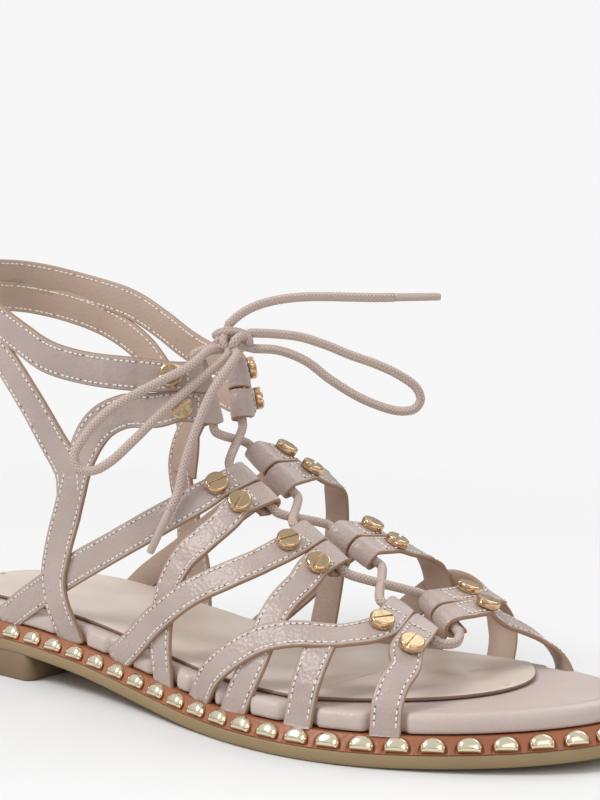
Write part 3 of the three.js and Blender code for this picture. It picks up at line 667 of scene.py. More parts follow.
# %% [markdown]
# The materials are all procedural. One shared node group makes leather: pebbled grain from a
# Voronoi pattern, wrinkles from noise, and a slow change of tone.


# %% Colours
def from_srgb(red, green, blue):
    """A linear colour from one as it is seen on a screen."""

    def linear(c):
        c /= 255
        return c / 12.92 if c <= 0.04045 else ((c + 0.055) / 1.055) ** 2.4

    return (linear(red), linear(green), linear(blue), 1)


# %% [markdown]
# The grain is a node group, so that every leather shares it and sets only its own numbers.

# %% Leather grain
def leather_group():
    """The shared grain: a colour between dark and light, and a height for the relief."""
    group = bpy.data.node_groups.new("leather grain", "ShaderNodeTree")
    sockets = group.interface
    for label, kind, value in (
        ("Grain", "NodeSocketFloat", 900.0),
        ("Wrinkle", "NodeSocketFloat", 70.0),
        ("Wrinkle Depth", "NodeSocketFloat", 0.5),
        ("Light", "NodeSocketColor", (0.6, 0.5, 0.4, 1)),
        ("Dark", "NodeSocketColor", (0.4, 0.3, 0.25, 1)),
    ):
        sockets.new_socket(name=label, in_out="INPUT", socket_type=kind).default_value = value
    sockets.new_socket(name="Color", in_out="OUTPUT", socket_type="NodeSocketColor")
    sockets.new_socket(name="Height", in_out="OUTPUT", socket_type="NodeSocketFloat")
    nodes, links = group.nodes, group.links
    given = nodes.new("NodeGroupInput")
    made = nodes.new("NodeGroupOutput")
    place = nodes.new("ShaderNodeTexCoord")
    pebbles = nodes.new("ShaderNodeTexVoronoi")
    wrinkles = nodes.new("ShaderNodeTexNoise")
    tone = nodes.new("ShaderNodeTexNoise")
    mix = nodes.new("ShaderNodeMix")
    deepen = nodes.new("ShaderNodeMath")
    total = nodes.new("ShaderNodeMath")
    wrinkles.inputs["Detail"].default_value = 5
    tone.inputs["Scale"].default_value = 38
    tone.inputs["Detail"].default_value = 4
    mix.data_type = "RGBA"
    deepen.operation = "MULTIPLY"
    total.operation = "ADD"
    for node in (pebbles, wrinkles, tone):
        links.new(place.outputs["Object"], node.inputs["Vector"])
    links.new(given.outputs["Grain"], pebbles.inputs["Scale"])
    links.new(given.outputs["Wrinkle"], wrinkles.inputs["Scale"])
    links.new(wrinkles.outputs["Fac"], deepen.inputs[0])
    links.new(given.outputs["Wrinkle Depth"], deepen.inputs[1])
    links.new(pebbles.outputs["Distance"], total.inputs[0])
    links.new(deepen.outputs[0], total.inputs[1])
    links.new(tone.outputs["Fac"], mix.inputs["Factor"])
    links.new(given.outputs["Dark"], mix.inputs["A"])
    links.new(given.outputs["Light"], mix.inputs["B"])
    links.new(mix.outputs["Result"], made.inputs["Color"])
    links.new(total.outputs[0], made.inputs["Height"])
    return group


# %% [markdown]
# Every finish starts from one plain material.

# %% One material
def plain_material(name, colour, roughness, metallic=0.0, coat=0.0, coat_roughness=0.1, specular=0.5):
    material = bpy.data.materials.new(name)
    material.use_nodes = True
    shader = material.node_tree.nodes["Principled BSDF"]
    shader.inputs["Base Color"].default_value = colour
    shader.inputs["Roughness"].default_value = roughness
    shader.inputs["Metallic"].default_value = metallic
    shader.inputs["Coat Weight"].default_value = coat
    shader.inputs["Coat Roughness"].default_value = coat_roughness
    shader.inputs["Specular IOR Level"].default_value = specular
    material.diffuse_color = colour
    return material


# %% [markdown]
# A leather is the plain material with the grain group in front of it. Its grain, wrinkles and
# tones are plain numbers, so the straps, the footbed and the welt each get their own.

# %% A leather
LEATHER_GROUP = leather_group()


def leather(name, light, dark, roughness, grain=900, wrinkle=70, wrinkle_depth=0.5, bump=0.25, **more):
    material = plain_material(name, light, roughness, **more)
    nodes, links = material.node_tree.nodes, material.node_tree.links
    shader = nodes["Principled BSDF"]
    grains = nodes.new("ShaderNodeGroup")
    grains.node_tree = LEATHER_GROUP
    grains.inputs["Light"].default_value = light
    grains.inputs["Dark"].default_value = dark
    grains.inputs["Grain"].default_value = grain
    grains.inputs["Wrinkle"].default_value = wrinkle
    grains.inputs["Wrinkle Depth"].default_value = wrinkle_depth
    relief = nodes.new("ShaderNodeBump")
    relief.inputs["Strength"].default_value = bump
    relief.inputs["Distance"].default_value = 0.0004
    links.new(grains.outputs["Color"], shader.inputs["Base Color"])
    links.new(grains.outputs["Height"], relief.inputs["Height"])
    links.new(relief.outputs["Normal"], shader.inputs["Normal"])
    return material


# %% [markdown]
# The braid of the lace is two sets of waves that cross over its UV. The low places between the
# strands take the darker colour: painted shade in the grooves.

# %% Braided cord
def braid(name, light, dark):
    """Braided cord: two sets of waves cross over the tube's own UV, darker in the low places as painted
    shade.
    """
    material = plain_material(name, light, 0.62, specular=0.4)
    nodes, links = material.node_tree.nodes, material.node_tree.links
    shader = nodes["Principled BSDF"]
    place = nodes.new("ShaderNodeTexCoord")
    heights = []
    for turn in (math.radians(38), math.radians(-38)):
        lean = nodes.new("ShaderNodeMapping")
        lean.inputs["Rotation"].default_value[2] = turn
        wave = nodes.new("ShaderNodeTexWave")
        wave.inputs["Scale"].default_value = 0.34
        links.new(place.outputs["UV"], lean.inputs["Vector"])
        links.new(lean.outputs["Vector"], wave.inputs["Vector"])
        heights.append(wave.outputs["Fac"])
    weave_height_and_shade = nodes.new("ShaderNodeMath")
    weave_height_and_shade.operation = "MAXIMUM"
    mix = nodes.new("ShaderNodeMix")
    mix.data_type = "RGBA"
    # The darker colour falls where the weave is low: painted shade in the grooves between strands.
    mix.inputs["A"].default_value = dark
    mix.inputs["B"].default_value = light
    relief = nodes.new("ShaderNodeBump")
    relief.inputs["Strength"].default_value = 0.5
    relief.inputs["Distance"].default_value = 0.0003
    links.new(heights[0], weave_height_and_shade.inputs[0])
    links.new(heights[1], weave_height_and_shade.inputs[1])
    links.new(weave_height_and_shade.outputs[0], mix.inputs["Factor"])
    links.new(mix.outputs["Result"], shader.inputs["Base Color"])
    links.new(weave_height_and_shade.outputs[0], relief.inputs["Height"])
    links.new(relief.outputs["Normal"], shader.inputs["Normal"])
    return material


# %% [markdown]
# Now the finishes of this shoe. The straps are a nude, slightly pearly leather with a tan cut
# edge and a plain lining. The welt is a waxed tan band, and the studs are champagne gold.

# %% Finishes
strap_top = leather(
    "strap leather", from_srgb(196, 179, 171), from_srgb(163, 145, 138), 0.35,
    wrinkle=110, wrinkle_depth=0.8, bump=0.4,
)
strap_edge = leather("strap cut edge", from_srgb(176, 142, 114), from_srgb(144, 112, 88), 0.7, bump=0.2)
strap_lining = leather("strap lining", from_srgb(194, 171, 155), from_srgb(170, 146, 130), 0.55, bump=0.25)
bed_leather = leather("footbed leather", from_srgb(208, 193, 186), from_srgb(190, 172, 164), 0.4, bump=0.25)
pad_leather = leather(
    "sock pad leather", from_srgb(230, 217, 206), from_srgb(208, 190, 175), 0.32, grain=1300, bump=0.12
)
# Painted shade: the pad's side takes this dark brown for the line of shade under the pad's rim.
pad_edge_shade = leather("sock pad edge painted shade", from_srgb(150, 122, 104), from_srgb(120, 94, 78), 0.7)
welt_leather = leather(
    "welt leather", from_srgb(172, 108, 72), from_srgb(138, 78, 48), 0.42, grain=600, wrinkle=130, bump=0.3
)
outsole_rubber = leather(
    "outsole rubber", from_srgb(158, 135, 98), from_srgb(140, 117, 84), 0.6, grain=1400, wrinkle=200, bump=0.1
)
heel_rubber = leather(
    "heel rubber", from_srgb(136, 114, 86), from_srgb(118, 97, 72), 0.6, grain=1400, wrinkle=200, bump=0.1
)
stud_gold = plain_material("stud champagne gold", from_srgb(236, 224, 196), 0.13, metallic=1.0)
screw_side = plain_material("screw rose gold", from_srgb(218, 184, 146), 0.14, metallic=1.0)
screw_top = leather(
    "screw brushed top", from_srgb(206, 184, 150), from_srgb(156, 134, 104), 0.27, grain=500, bump=0.15,
    metallic=1.0,
)
thread = plain_material("stitch thread", from_srgb(240, 234, 226), 0.65)
# Painted shade: a dark disc in this colour stands for the shade inside each hole of the stitching.
stitch_hole_shade = plain_material("stitch hole painted shade", from_srgb(116, 98, 86), 0.9)
# The second colour is painted shade for the grooves of the braid.
lace_braid = braid("lace braid", from_srgb(206, 187, 177), from_srgb(164, 142, 132))
tip_plastic = plain_material("lace tip plastic", from_srgb(188, 170, 160), 0.25, coat=0.3)
print("materials", len(bpy.data.materials))

# %% [markdown]
# Repeats are made by Geometry Nodes. One small tree sets a copy of a shape on each point of a
# mesh and turns it by two vectors that the points carry, named up and along.

# %% Repeats
def scatter_tree(name):
    """The node tree that sets copies on points, with the names of its two inputs."""
    tree = bpy.data.node_groups.new(name, "GeometryNodeTree")
    tree.interface.new_socket(name="Geometry", in_out="INPUT", socket_type="NodeSocketGeometry")
    shape = tree.interface.new_socket(name="Shape", in_out="INPUT", socket_type="NodeSocketObject")
    finish_input = tree.interface.new_socket(
        name="Main Finish", in_out="INPUT", socket_type="NodeSocketMaterial"
    )
    tree.interface.new_socket(name="Geometry", in_out="OUTPUT", socket_type="NodeSocketGeometry")
    nodes, links = tree.nodes, tree.links
    given, made = nodes.new("NodeGroupInput"), nodes.new("NodeGroupOutput")
    info = nodes.new("GeometryNodeObjectInfo")
    place = nodes.new("GeometryNodeInstanceOnPoints")
    real = nodes.new("GeometryNodeRealizeInstances")
    finish = nodes.new("GeometryNodeSetMaterial")
    chosen = nodes.new("GeometryNodeMaterialSelection")
    turn = None
    for attribute, axis in (("up", "Z"), ("along", "X")):
        read = nodes.new("GeometryNodeInputNamedAttribute")
        read.data_type = "FLOAT_VECTOR"
        read.inputs["Name"].default_value = attribute
        align = nodes.new("FunctionNodeAlignEulerToVector")
        align.axis = axis
        align.pivot_axis = "AUTO" if axis == "Z" else "Z"
        links.new(read.outputs["Attribute"], align.inputs["Vector"])
        if turn is not None:
            links.new(turn, align.inputs["Rotation"])
        turn = align.outputs["Rotation"]
    links.new(given.outputs["Geometry"], place.inputs["Points"])
    links.new(given.outputs["Shape"], info.inputs["Object"])
    links.new(info.outputs["Geometry"], place.inputs["Instance"])
    links.new(turn, place.inputs["Rotation"])
    links.new(place.outputs["Instances"], real.inputs["Geometry"])
    links.new(real.outputs["Geometry"], finish.inputs["Geometry"])
    links.new(given.outputs["Main Finish"], chosen.inputs["Material"])
    links.new(chosen.outputs["Selection"], finish.inputs["Selection"])
    links.new(given.outputs["Main Finish"], finish.inputs["Material"])
    links.new(finish.outputs["Geometry"], made.inputs["Geometry"])
    return tree, shape.identifier, finish_input.identifier


# %% [markdown]
# The tree runs in a modifier on a mesh of points. The result is kept as an ordinary mesh, so
# that its copies are real geometry.

# %% Scatter
SCATTER, SHAPE_SOCKET, FINISH_SOCKET = scatter_tree("scatter")


def scatter(name, shape, places, ups, alongs):
    """Copies of shape at places, with its Z along ups and its X along alongs."""
    mesh = bpy.data.meshes.new(name + " points")
    mesh.from_pydata((np.asarray(places) * MM).tolist(), [], [])
    for label, rows in (("up", ups), ("along", alongs)):
        attribute = mesh.attributes.new(label, "FLOAT_VECTOR", "POINT")
        attribute.data.foreach_set("vector", np.asarray(rows, np.float32).ravel())
    seeds = bpy.data.objects.new(name + " points", mesh)
    bpy.context.scene.collection.objects.link(seeds)
    modifier = seeds.modifiers.new("scatter", "NODES")
    modifier.node_group = SCATTER
    modifier[SHAPE_SOCKET] = shape
    modifier[FINISH_SOCKET] = shape.data.materials[0]
    graph = bpy.context.evaluated_depsgraph_get()
    result = bpy.data.meshes.new_from_object(seeds.evaluated_get(graph))
    result.name = name
    bpy.data.objects.remove(seeds)
    bpy.data.objects.remove(shape)
    thing = bpy.data.objects.new(name, result)
    bpy.context.scene.collection.objects.link(thing)
    print(name, len(places), "copies,", len(result.polygons), "faces")
    return thing


# %% [markdown]
# The outsole follows the arch and the toe spring, with softly rounded edges and a low heel
# block under it. The welt above leans in, and has a shallow arched niche behind each stud.

# %% Heel block
def sole_bottom(x):
    """The underside of the outsole, flat on the floor where the seam is low."""
    return np.maximum(0, seam_height(x) - OUTSOLE_THICKNESS)


def shifted(height, by):
    return lambda x: height(x) + by


fine = np.linspace(0, OUTLINE_STEPS, 721)[:-1]
HEEL_FRONT = HEEL_BACK + HEEL_LENGTH
HEEL_CORNER = 3  # radius of its two front corners
HEEL_CORNER_SPACE = 3.2


def heel_block():
    """A block of the sole's own outline with a straight front and rounded corners."""
    rim, _ = on_outline(np.linspace(0, OUTLINE_STEPS, 1441)[:-1])
    back = rim[:, 0] < HEEL_FRONT - HEEL_CORNER_SPACE
    order = np.argsort(np.where(back, (np.arange(len(rim)) + len(rim) // 2) % len(rim), 1e9))
    loop = rim[order[: back.sum()]]
    first, final = loop[-1], loop[0]
    corners = []
    for corner, sign in ((first, -1), (final, 1)):
        turns = np.radians([20, 45, 70, 90])
        inward = -np.sign(corner[1]) * HEEL_CORNER * (1 - np.cos(turns))
        reach = HEEL_FRONT - HEEL_CORNER_SPACE + HEEL_CORNER * np.sin(turns)
        arc = np.stack([reach, corner[1] + inward, 0 * turns], -1)
        corners.append(arc if sign < 0 else arc[::-1])
    front = np.linspace(corners[0][-1], corners[1][0], 12)[1:-1]
    loop = np.vstack([loop, corners[0], front, corners[1]])
    middle = loop.mean(0)
    rings = []
    for inset, height in ((1.6, 0.0), (1.2, 0.05), (0.95, 0.5), (0.55, None)):
        ring = loop - unit(loop - middle) * inset
        ring[:, 2] = sole_bottom(loop[:, 0]) + 0.6 if height is None else height
        rings.append(ring)
    return np.vstack(rings), ring_faces(len(rings), len(loop))


# %% [markdown]
# The outsole takes its levels from the floor up: a rounded lower edge, a straight side, and a
# seam on top. The heel block is a second body in a darker rubber.

# %% Outsole
outsole = sole_body(
    "outsole_rubber_sole",
    [
        (1.5, sole_bottom),
        (0.7, shifted(sole_bottom, 0.12)),
        (0.25, shifted(sole_bottom, 0.55)),
        (0.1, shifted(sole_bottom, 1.2)),
        (0.1, shifted(seam_height, -0.5)),
        (0.5, shifted(seam_height, -0.12)),
        (1.2, seam_height),
    ],
    [outsole_rubber, heel_rubber],
    fine,
    extra=heel_block(),
)
print("outsole", len(outsole.data.polygons), "faces")

# %% [markdown]
# The niche behind a stud is a shallow dent in the welt's face. Its depth comes from the place
# along the outline and the height, so that the dents and the studs keep the same step.

# %% Welt
WELT_FACE_OUT = 0.5
STUD_PITCH = 10.1
STUD_FIRST = 0.37
stud_count = round(outline_length / STUD_PITCH)
welt_places = np.linspace(0, OUTLINE_STEPS, 2401)[:-1]


def niche(places, height):
    """How deep the niche is at each place, at a share of the welt's height."""
    turn = (places / OUTLINE_STEPS * stud_count - STUD_FIRST + 0.5) % 1 - 0.5
    across = abs(turn * STUD_PITCH) / 4.4
    up = max(0, (height - 0.1) / 0.82)
    reach = np.sqrt(across**2 + up**2.4)
    return 0.75 * (1 - smoothstep(reach, 0.86, 1.02)) * min(1, height / 0.14)


welt_foot = shifted(seam_height, 0.05)
welt_levels = [(WELT_FACE_OUT + 2.0, welt_foot), (WELT_FACE_OUT + 0.3, welt_foot)]
for share in (0.02, 0.08, 0.14, 0.24, 0.36, 0.48, 0.6, 0.7, 0.8, 0.88, 0.94, 0.985):
    lean = WELT_FACE_OUT + (WELT_INSET - WELT_FACE_OUT) * share
    welt_levels.append((lean + niche(welt_places, share), shifted(seam_height, WELT_HEIGHT * share)))
welt_levels += [(WELT_INSET + 0.5, welt_top), (WELT_INSET + 6, shifted(welt_top, -0.1))]
welt = sole_body("welt_leather_band", welt_levels, [welt_leather], welt_places)
print("welt", len(welt.data.polygons), "faces,", stud_count, "niches")

# %% [markdown]
# One stud is a D-shaped dome. Geometry Nodes set a copy of it at each niche, on the welt's
# leaning face.

# %% Studs
WELT_LEAN = 3.2
STUD_WIDTH, STUD_HEIGHT, STUD_RISE = 7.2, 4.7, 2.2


def dome_stud(around=36, out=9):
    """A D-shaped dome: flat at the foot, round above, swelling outward along Z."""
    points = []
    for ring in range(out + 1):
        lift = math.sin(ring / out * math.pi / 2)
        scale = math.cos(ring / out * math.pi / 2) ** 0.55 if ring < out else 0.001
        for k in range(around):
            turn = k / around * 2 * math.pi
            x = math.cos(turn) * STUD_WIDTH / 2
            y = math.sin(turn) * STUD_HEIGHT * 0.62
            if y < 0:
                y = -0.36 * STUD_HEIGHT * min(1, 2.4 * abs(math.sin(turn)))
            points.append((x * scale, y * scale, STUD_RISE * lift - 0.5))
    faces = ring_faces(out + 1, around)
    return add_mesh("stud shape", points, faces, [stud_gold])


stud_at = (np.arange(stud_count) + STUD_FIRST) / stud_count * OUTLINE_STEPS
stud_base, stud_out = on_outline(stud_at)
welt_up = [-stud_out[:, 0] * WELT_LEAN, -stud_out[:, 1] * WELT_LEAN, np.full(stud_count, WELT_HEIGHT)]
welt_up = unit(np.stack(welt_up, -1))
stud_facing = unit(np.cross(np.cross(stud_out, (0, 0, 1)), -welt_up))
stud_facing *= np.sign((stud_facing * stud_out).sum(1))[:, None]
stud_centre = stud_base - stud_out * (WELT_FACE_OUT + 1.55)
stud_centre[:, 2] = seam_height(stud_base[:, 0]) + 0.44 * WELT_HEIGHT
stud_side = np.cross(welt_up, stud_facing)
studs = scatter("welt_studs", dome_stud(), stud_centre + stud_facing * 0.1, stud_facing, stud_side)

# %% [markdown]
# The footbed is a moulded leather board with a rolled rim. Its edge is drawn in a little where
# a strap goes down beside it.

# %% Footbed
def strap_feet():
    """Places on the outline where straps go down, with their widths."""
    feet = []
    for side in (-1, 1):
        for name, (width, rows) in STRAPS.items():
            if rows[-1][1] < 1:
                foot = strap_line(name, side)[0][-1]
                away = np.linalg.norm(outline[:, :2] - foot[:2], axis=1)
                feet.append((int(np.argmin(away)), width))
    return feet


def bed_inset(places):
    """How far in the footbed's edge lies, with room beside each strap."""
    inset = np.full(len(places), FOOTBED_INSET + 0.1)
    step = outline_length / OUTLINE_STEPS
    for foot, width in strap_feet():
        away = abs((places - foot + OUTLINE_STEPS / 2) % OUTLINE_STEPS - OUTLINE_STEPS / 2) * step
        inset += 1.9 * (1 - smoothstep(away, width / 2 + 0.2, width / 2 + 3))
    return inset


bed_edge = bed_inset(fine)
footbed = sole_body(
    "footbed_leather_board",
    [
        (bed_edge + 1.2, shifted(welt_top, GAP)),
        (bed_edge + 0.2, shifted(welt_top, GAP + 0.3)),
        (bed_edge, shifted(welt_top, 1.4)),
        (bed_edge, shifted(bed_top, -2.4)),
        (bed_edge + 0.3, shifted(bed_top, -1.2)),
        (bed_edge + 0.9, shifted(bed_top, -0.4)),
        (bed_edge + 1.9, shifted(bed_top, 0.0)),
        (bed_edge + 3.2, shifted(bed_top, -0.05)),
        (bed_edge + 4.6, shifted(bed_top, -0.1)),
    ],
    [bed_leather],
    fine,
    top=shifted(bed_top, -0.1),
)


# %% [markdown]
# The pad lies on the footbed. Its side is painted dark, as painted shade for the line of shade
# under its rim. It is shorter than the footbed, and its front end is a shallow arc.

# %% Sock pad
def pad_shape():
    """The pad's rim follows the outline, and its front end is a shallow curve."""
    rim, out = on_outline(fine)
    rim = rim - out * (PAD_INSET + 0.1)
    end = HEEL_BACK + PAD_LENGTH - 6 * BALL_BIG + 6 * BALL_BIG * np.sqrt(
        np.maximum(0, 1 - ((rim[:, 1] - 6) / (2 * BALL_BIG)) ** 2)
    )
    rim[:, 0] = np.minimum(rim[:, 0], end)
    return rim


def pad_rings():
    """Rings of the pad, from its underside over the cut edge to the middle line."""
    rim = pad_shape()
    middle = np.stack([rim[:, 0], 0 * rim[:, 0], 0 * rim[:, 0]], -1)
    inward = unit(np.roll(rim, -1, 0) - np.roll(rim, 1, 0))
    inward = np.stack([-inward[:, 1], inward[:, 0], 0 * inward[:, 0]], -1)
    rings = []
    for inset, lift in ((0.2, 0.3), (0, 0.5), (0, 0.95), (0.25, 1.25), (0.9, 1.35), (3, 1.3)):
        ring = rim + inward * inset
        ring[:, 2] = bed_top(ring[:, 0]) + lift
        rings.append(ring)
    return rings + top_rings(rings[-1], shifted(bed_top, 1.3))


rings = pad_rings()
count = len(fine)
faces = ring_faces(len(rings), count, closed_ends=False)
# These rings make the pad's side, which takes the dark painted shade.
SHADED_EDGE_RINGS = 3  # the cut edge of the pad, under its leather
slots = [1] * (SHADED_EDGE_RINGS * count) + [0] * ((len(rings) - 1 - SHADED_EDGE_RINGS) * count)
caps = cap_faces(count, 0) + cap_faces(count, (len(rings) - 1) * count)
slots += [1] * (len(caps) // 2) + [0] * (len(caps) - len(caps) // 2)
sock_pad = add_mesh("sock_pad_leather", np.vstack(rings), faces + caps, [pad_leather, pad_edge_shade], slots)
print("footbed", len(footbed.data.polygons), "faces, pad", len(sock_pad.data.polygons))

# %% [markdown]
# A strap is one long strip: its end is folded under, wraps round the lace, runs back over the
# tab, under its screw, and down over the foot to the welt. The top is crowned, with a groove
# for each row of stitches, and each bend carries a few listed creases.

# %% Creases
LOOP_RADIUS = 2.9
STITCH_INSET = 1.4
TAB_SLIT = 0.35
FOOT_SPARE = 3  # leather past the foot of a strap, trimmed along the welt
FOOT_SUNK = 0.2
CREASES = {  # strap: place along it in millimetres, depth, breadth
    "toe_back": [(9, 0.16, 1.0), (30, 0.2, 1.6), (52, 0.14, 1.3)],
    "toe_front": [(8, 0.15, 1.0), (26, 0.18, 1.5)],
    "toe_middle": [(4, 0.2, 1.2), (9, 0.14, 1.0)],
    "instep_back": [(10, 0.18, 1.1), (34, 0.22, 1.7), (60, 0.14, 1.4)],
    "instep_front": [(9, 0.15, 1.0), (33, 0.16, 1.6)],
    "ankle_back": [(10, 0.16, 1.1), (42, 0.22, 1.8), (70, 0.15, 1.5)],
    "ankle_front": [(9, 0.16, 1.1), (38, 0.2, 1.7)],
    "collar": [(10, 0.18, 1.2), (22, 0.2, 1.5), (40, 0.15, 1.6)],
    "upright": [(9, 0.18, 1.1), (27, 0.2, 1.6), (58, 0.22, 2.0), (88, 0.15, 1.5)],
    "heel_sling": [(4, 0.18, 1.1), (20, 0.2, 1.8), (36, 0.12, 1.5)],
}
CREASE_START = 12  # length of the folded loop before the first crease


def crease(name, at):
    """The dip of the leather at a place along a strap."""
    dips = ((depth, (at - CREASE_START - place) / breadth) for place, depth, breadth in CREASES[name])
    return sum(-depth * math.exp(-(away**2)) for depth, away in dips)


# %% [markdown]
# The middle line of a strap starts in the folded loop, crosses the tab, leaves it for its own
# way over the last, and ends at the welt or behind the ankle.

# %% The way of a strap
TUCKED_PLACES = (4.2, 2.8, 1.4)  # how far the folded end reaches back under the tab
TAB_LEAVES = 0.75  # the strap leaves the tab's plate between these two rows
TAB_LEFT = 1.9


def tab_of(name):
    """The tab that a strap ends in, and -1 for its back strap or 1 for its front strap."""
    for names in TABS:
        if name in names:
            return names, -1 if name == names[0] else 1
    return None, 0


def reaches_welt(name):
    return STRAPS[name][1][-1][1] < 1


def strap_path(name, side):
    """The middle line of a strap's leather, its outward direction and its width."""
    own, outs, width = strap_line(name, side)
    final = len(own) - 1
    names, hand = tab_of(name)
    rows = []
    if names is None:
        for u in np.linspace(0, final, 50):
            rows.append((spline_at(own, u / final)[0], spline_at(outs, u / final)[0], width))
    else:
        centre, out, across, breadth = loop_centre(names, side)
        ahead = tab_at(names, side, 0)[0] - tab_at(names, side, 0.4)[0]
        ahead = unit(ahead - out * ahead.dot(out) - across * ahead.dot(across))
        middle_of_half = across * hand * (breadth / 4 + TAB_SLIT / 4)
        half = breadth / 2 - TAB_SLIT
        for back in TUCKED_PLACES:
            tucked = out * (0.35 * back - LOOP_RADIUS)
            rows.append((centre + middle_of_half + tucked - ahead * back, -out, half))
        for turn in np.radians(np.arange(180, -1, -15)):
            around = math.cos(turn) * out + math.sin(turn) * ahead
            rows.append((centre + middle_of_half + around * LOOP_RADIUS, around, half))
        for u in np.linspace(0.12, final, 60):
            line = spline_at(own, u / final)[0]
            line_out = unit(spline_at(outs, u / final)[0])
            blend = float(smoothstep(u, TAB_LEAVES, TAB_LEFT))
            if u < TAB_LEFT:
                middle, out_here, across_here, _, wide = tab_at(names, side, u)
                top = middle + out_here * (TAB_LIFT + STRAP_THICKNESS / 2 - LEATHER / 2)
                top = top + across_here * hand * wide / 4
                line = top * (1 - blend) + line * blend
                line_out = unit(out_here * (1 - blend) + line_out * blend)
            else:
                wide = 2 * width
            rows.append((line, line_out, (wide / 2 - TAB_SLIT) * (1 - blend) + width * blend))
    if reaches_welt(name):
        down = unit(own[-1] - spline_at(own, 0.97)[0])
        rows.append((own[-1] + down * FOOT_SPARE, outs[-1], width))
    points, normals, widths = (np.array(column) for column in zip(*rows))
    points, normals, widths, at = evenly(points, 0.9, normals, widths)
    return points, unit(normals), widths, at


# %% [markdown]
# Across, a strap is flat below and crowned on top, with two grooves and a cut edge. Each point
# of the section has one of the three leathers.

# %% The section of a strap
def strap_profile(width):
    """Across and up of each point of a strap's section; its material is in PROFILE_SLOTS."""
    half, thick = width / 2, LEATHER / 2
    groove = half - STITCH_INSET
    top = []
    for across in (-half + 0.35, -groove - 0.35, -groove, -groove + 0.4, -groove * 0.5, 0):
        top.append((across, thick - 0.06 - (0.1 if abs(abs(across) - groove) < 0.01 else 0)))
    top = [(a, h + 0.18 * (1 - (a / half) ** 2)) for a, h in top]
    top += [(-a, h) for a, h in reversed(top[:-1])]
    section = [(-half + 0.08, -thick + 0.2), (-half, 0), (-half + 0.08, thick - 0.3)] + top
    section += [(half - 0.08, thick - 0.3), (half, 0), (half - 0.08, -thick + 0.2)]
    section += [(half - 0.4, -thick), (0, -thick), (-half + 0.4, -thick)]
    return section


PROFILE_SLOTS = [1, 1, 1] + [0] * 10 + [1, 1, 1] + [2, 2, 2, 1]


def strap_mesh(name, side):
    """Points, faces, UV and material slots of a strap, and the line it follows."""
    points, normals, widths, at = strap_path(name, side)
    run = unit(np.gradient(points, axis=0))
    across = unit(np.cross(normals, run))
    up = unit(np.cross(run, across))
    rings, uvs = [], []
    for i in range(len(points)):
        dip = crease(name, at[i])
        dip += 0.06 * math.sin(at[i] * 0.9 + side) + 0.05 * math.sin(at[i] * 0.37 + 2 * side)
        edge = 0.1 * math.sin(at[i] * 0.21 + len(name))
        for k, (a, h) in enumerate(strap_profile(widths[i] + edge)):
            lift = h + (dip if PROFILE_SLOTS[k] == 0 else 0.3 * dip)
            rings.append(points[i] + across[i] * a + up[i] * lift)
            uvs.append((at[i], a))
    rings = np.array(rings)
    if reaches_welt(name):
        rings[:, 2] = np.maximum(rings[:, 2], welt_top(rings[:, 0]) - FOOT_SUNK)
    count = len(PROFILE_SLOTS)
    faces = ring_faces(len(points), count)
    slots = PROFILE_SLOTS * (len(points) - 1) + [1, 1]
    return rings, faces, uvs, slots, (points, across, up, widths, at)


# %% [markdown]
# Both sides of the shoe take the same straps from the same tables.

# %% All straps
strap_objects = []
strap_lines = {}
for side, label in ((-1, "outer"), (1, "inner")):
    for name in STRAPS:
        points, faces, uvs, slots, line = strap_mesh(name, side)
        strap = add_mesh(
            f"strap_{name}_{label}", points, faces, [strap_top, strap_edge, strap_lining], slots, uvs
        )
        strap_objects.append(strap)
        strap_lines[name, side] = line
print("straps", len(strap_objects), "faces", sum(len(s.data.polygons) for s in strap_objects))

# %% [markdown]
# The stitches run in two rows on each strap, with a cross row on each tab. Each stitch is a
# short pale thread between two holes; each hole is a dark disc of painted shade.

# %% Stitches
STITCH_PITCH = 2.0
STITCH_SUNK = 0.06
FIRST_STITCH = {True: 19.2, False: 2}  # along a strap with a tab and one without
LAST_STITCH = 5.5  # before the foot of the strap
CROSS_ROW = 18.6
LINING_FIRST = 24
HOLE_RADIUS = 0.22
STITCH_SIDES = 8


def stitch_shape():
    """A pale thread, fullest in its middle, with a dark disc of painted shade for the hole before it."""
    turns = [k / STITCH_SIDES * 2 * math.pi for k in range(STITCH_SIDES)]
    points = []
    for x, half in ((-0.7, 0.05), (-0.5, 0.2), (0, 0.24), (0.5, 0.2), (0.7, 0.05)):
        points += [(x, half * math.cos(t) * 1.1, half * math.sin(t) * 0.8 + 0.04) for t in turns]
    thread_faces = ring_faces(5, STITCH_SIDES)
    hole_faces = ring_faces(2, STITCH_SIDES, len(points))
    # The hole is a dark disc of painted shade where the thread goes into the leather.
    for height in (-0.1, 0.03):
        for t in turns:
            points.append((-1 + HOLE_RADIUS * math.cos(t), HOLE_RADIUS * 1.1 * math.sin(t), height))
    slots = [0] * len(thread_faces) + [1] * len(hole_faces)
    return add_mesh("stitch shape", points, thread_faces + hole_faces, [thread, stitch_hole_shade], slots)


# %% [markdown]
# The rows on top follow the two grooves, and a short row crosses each tab.

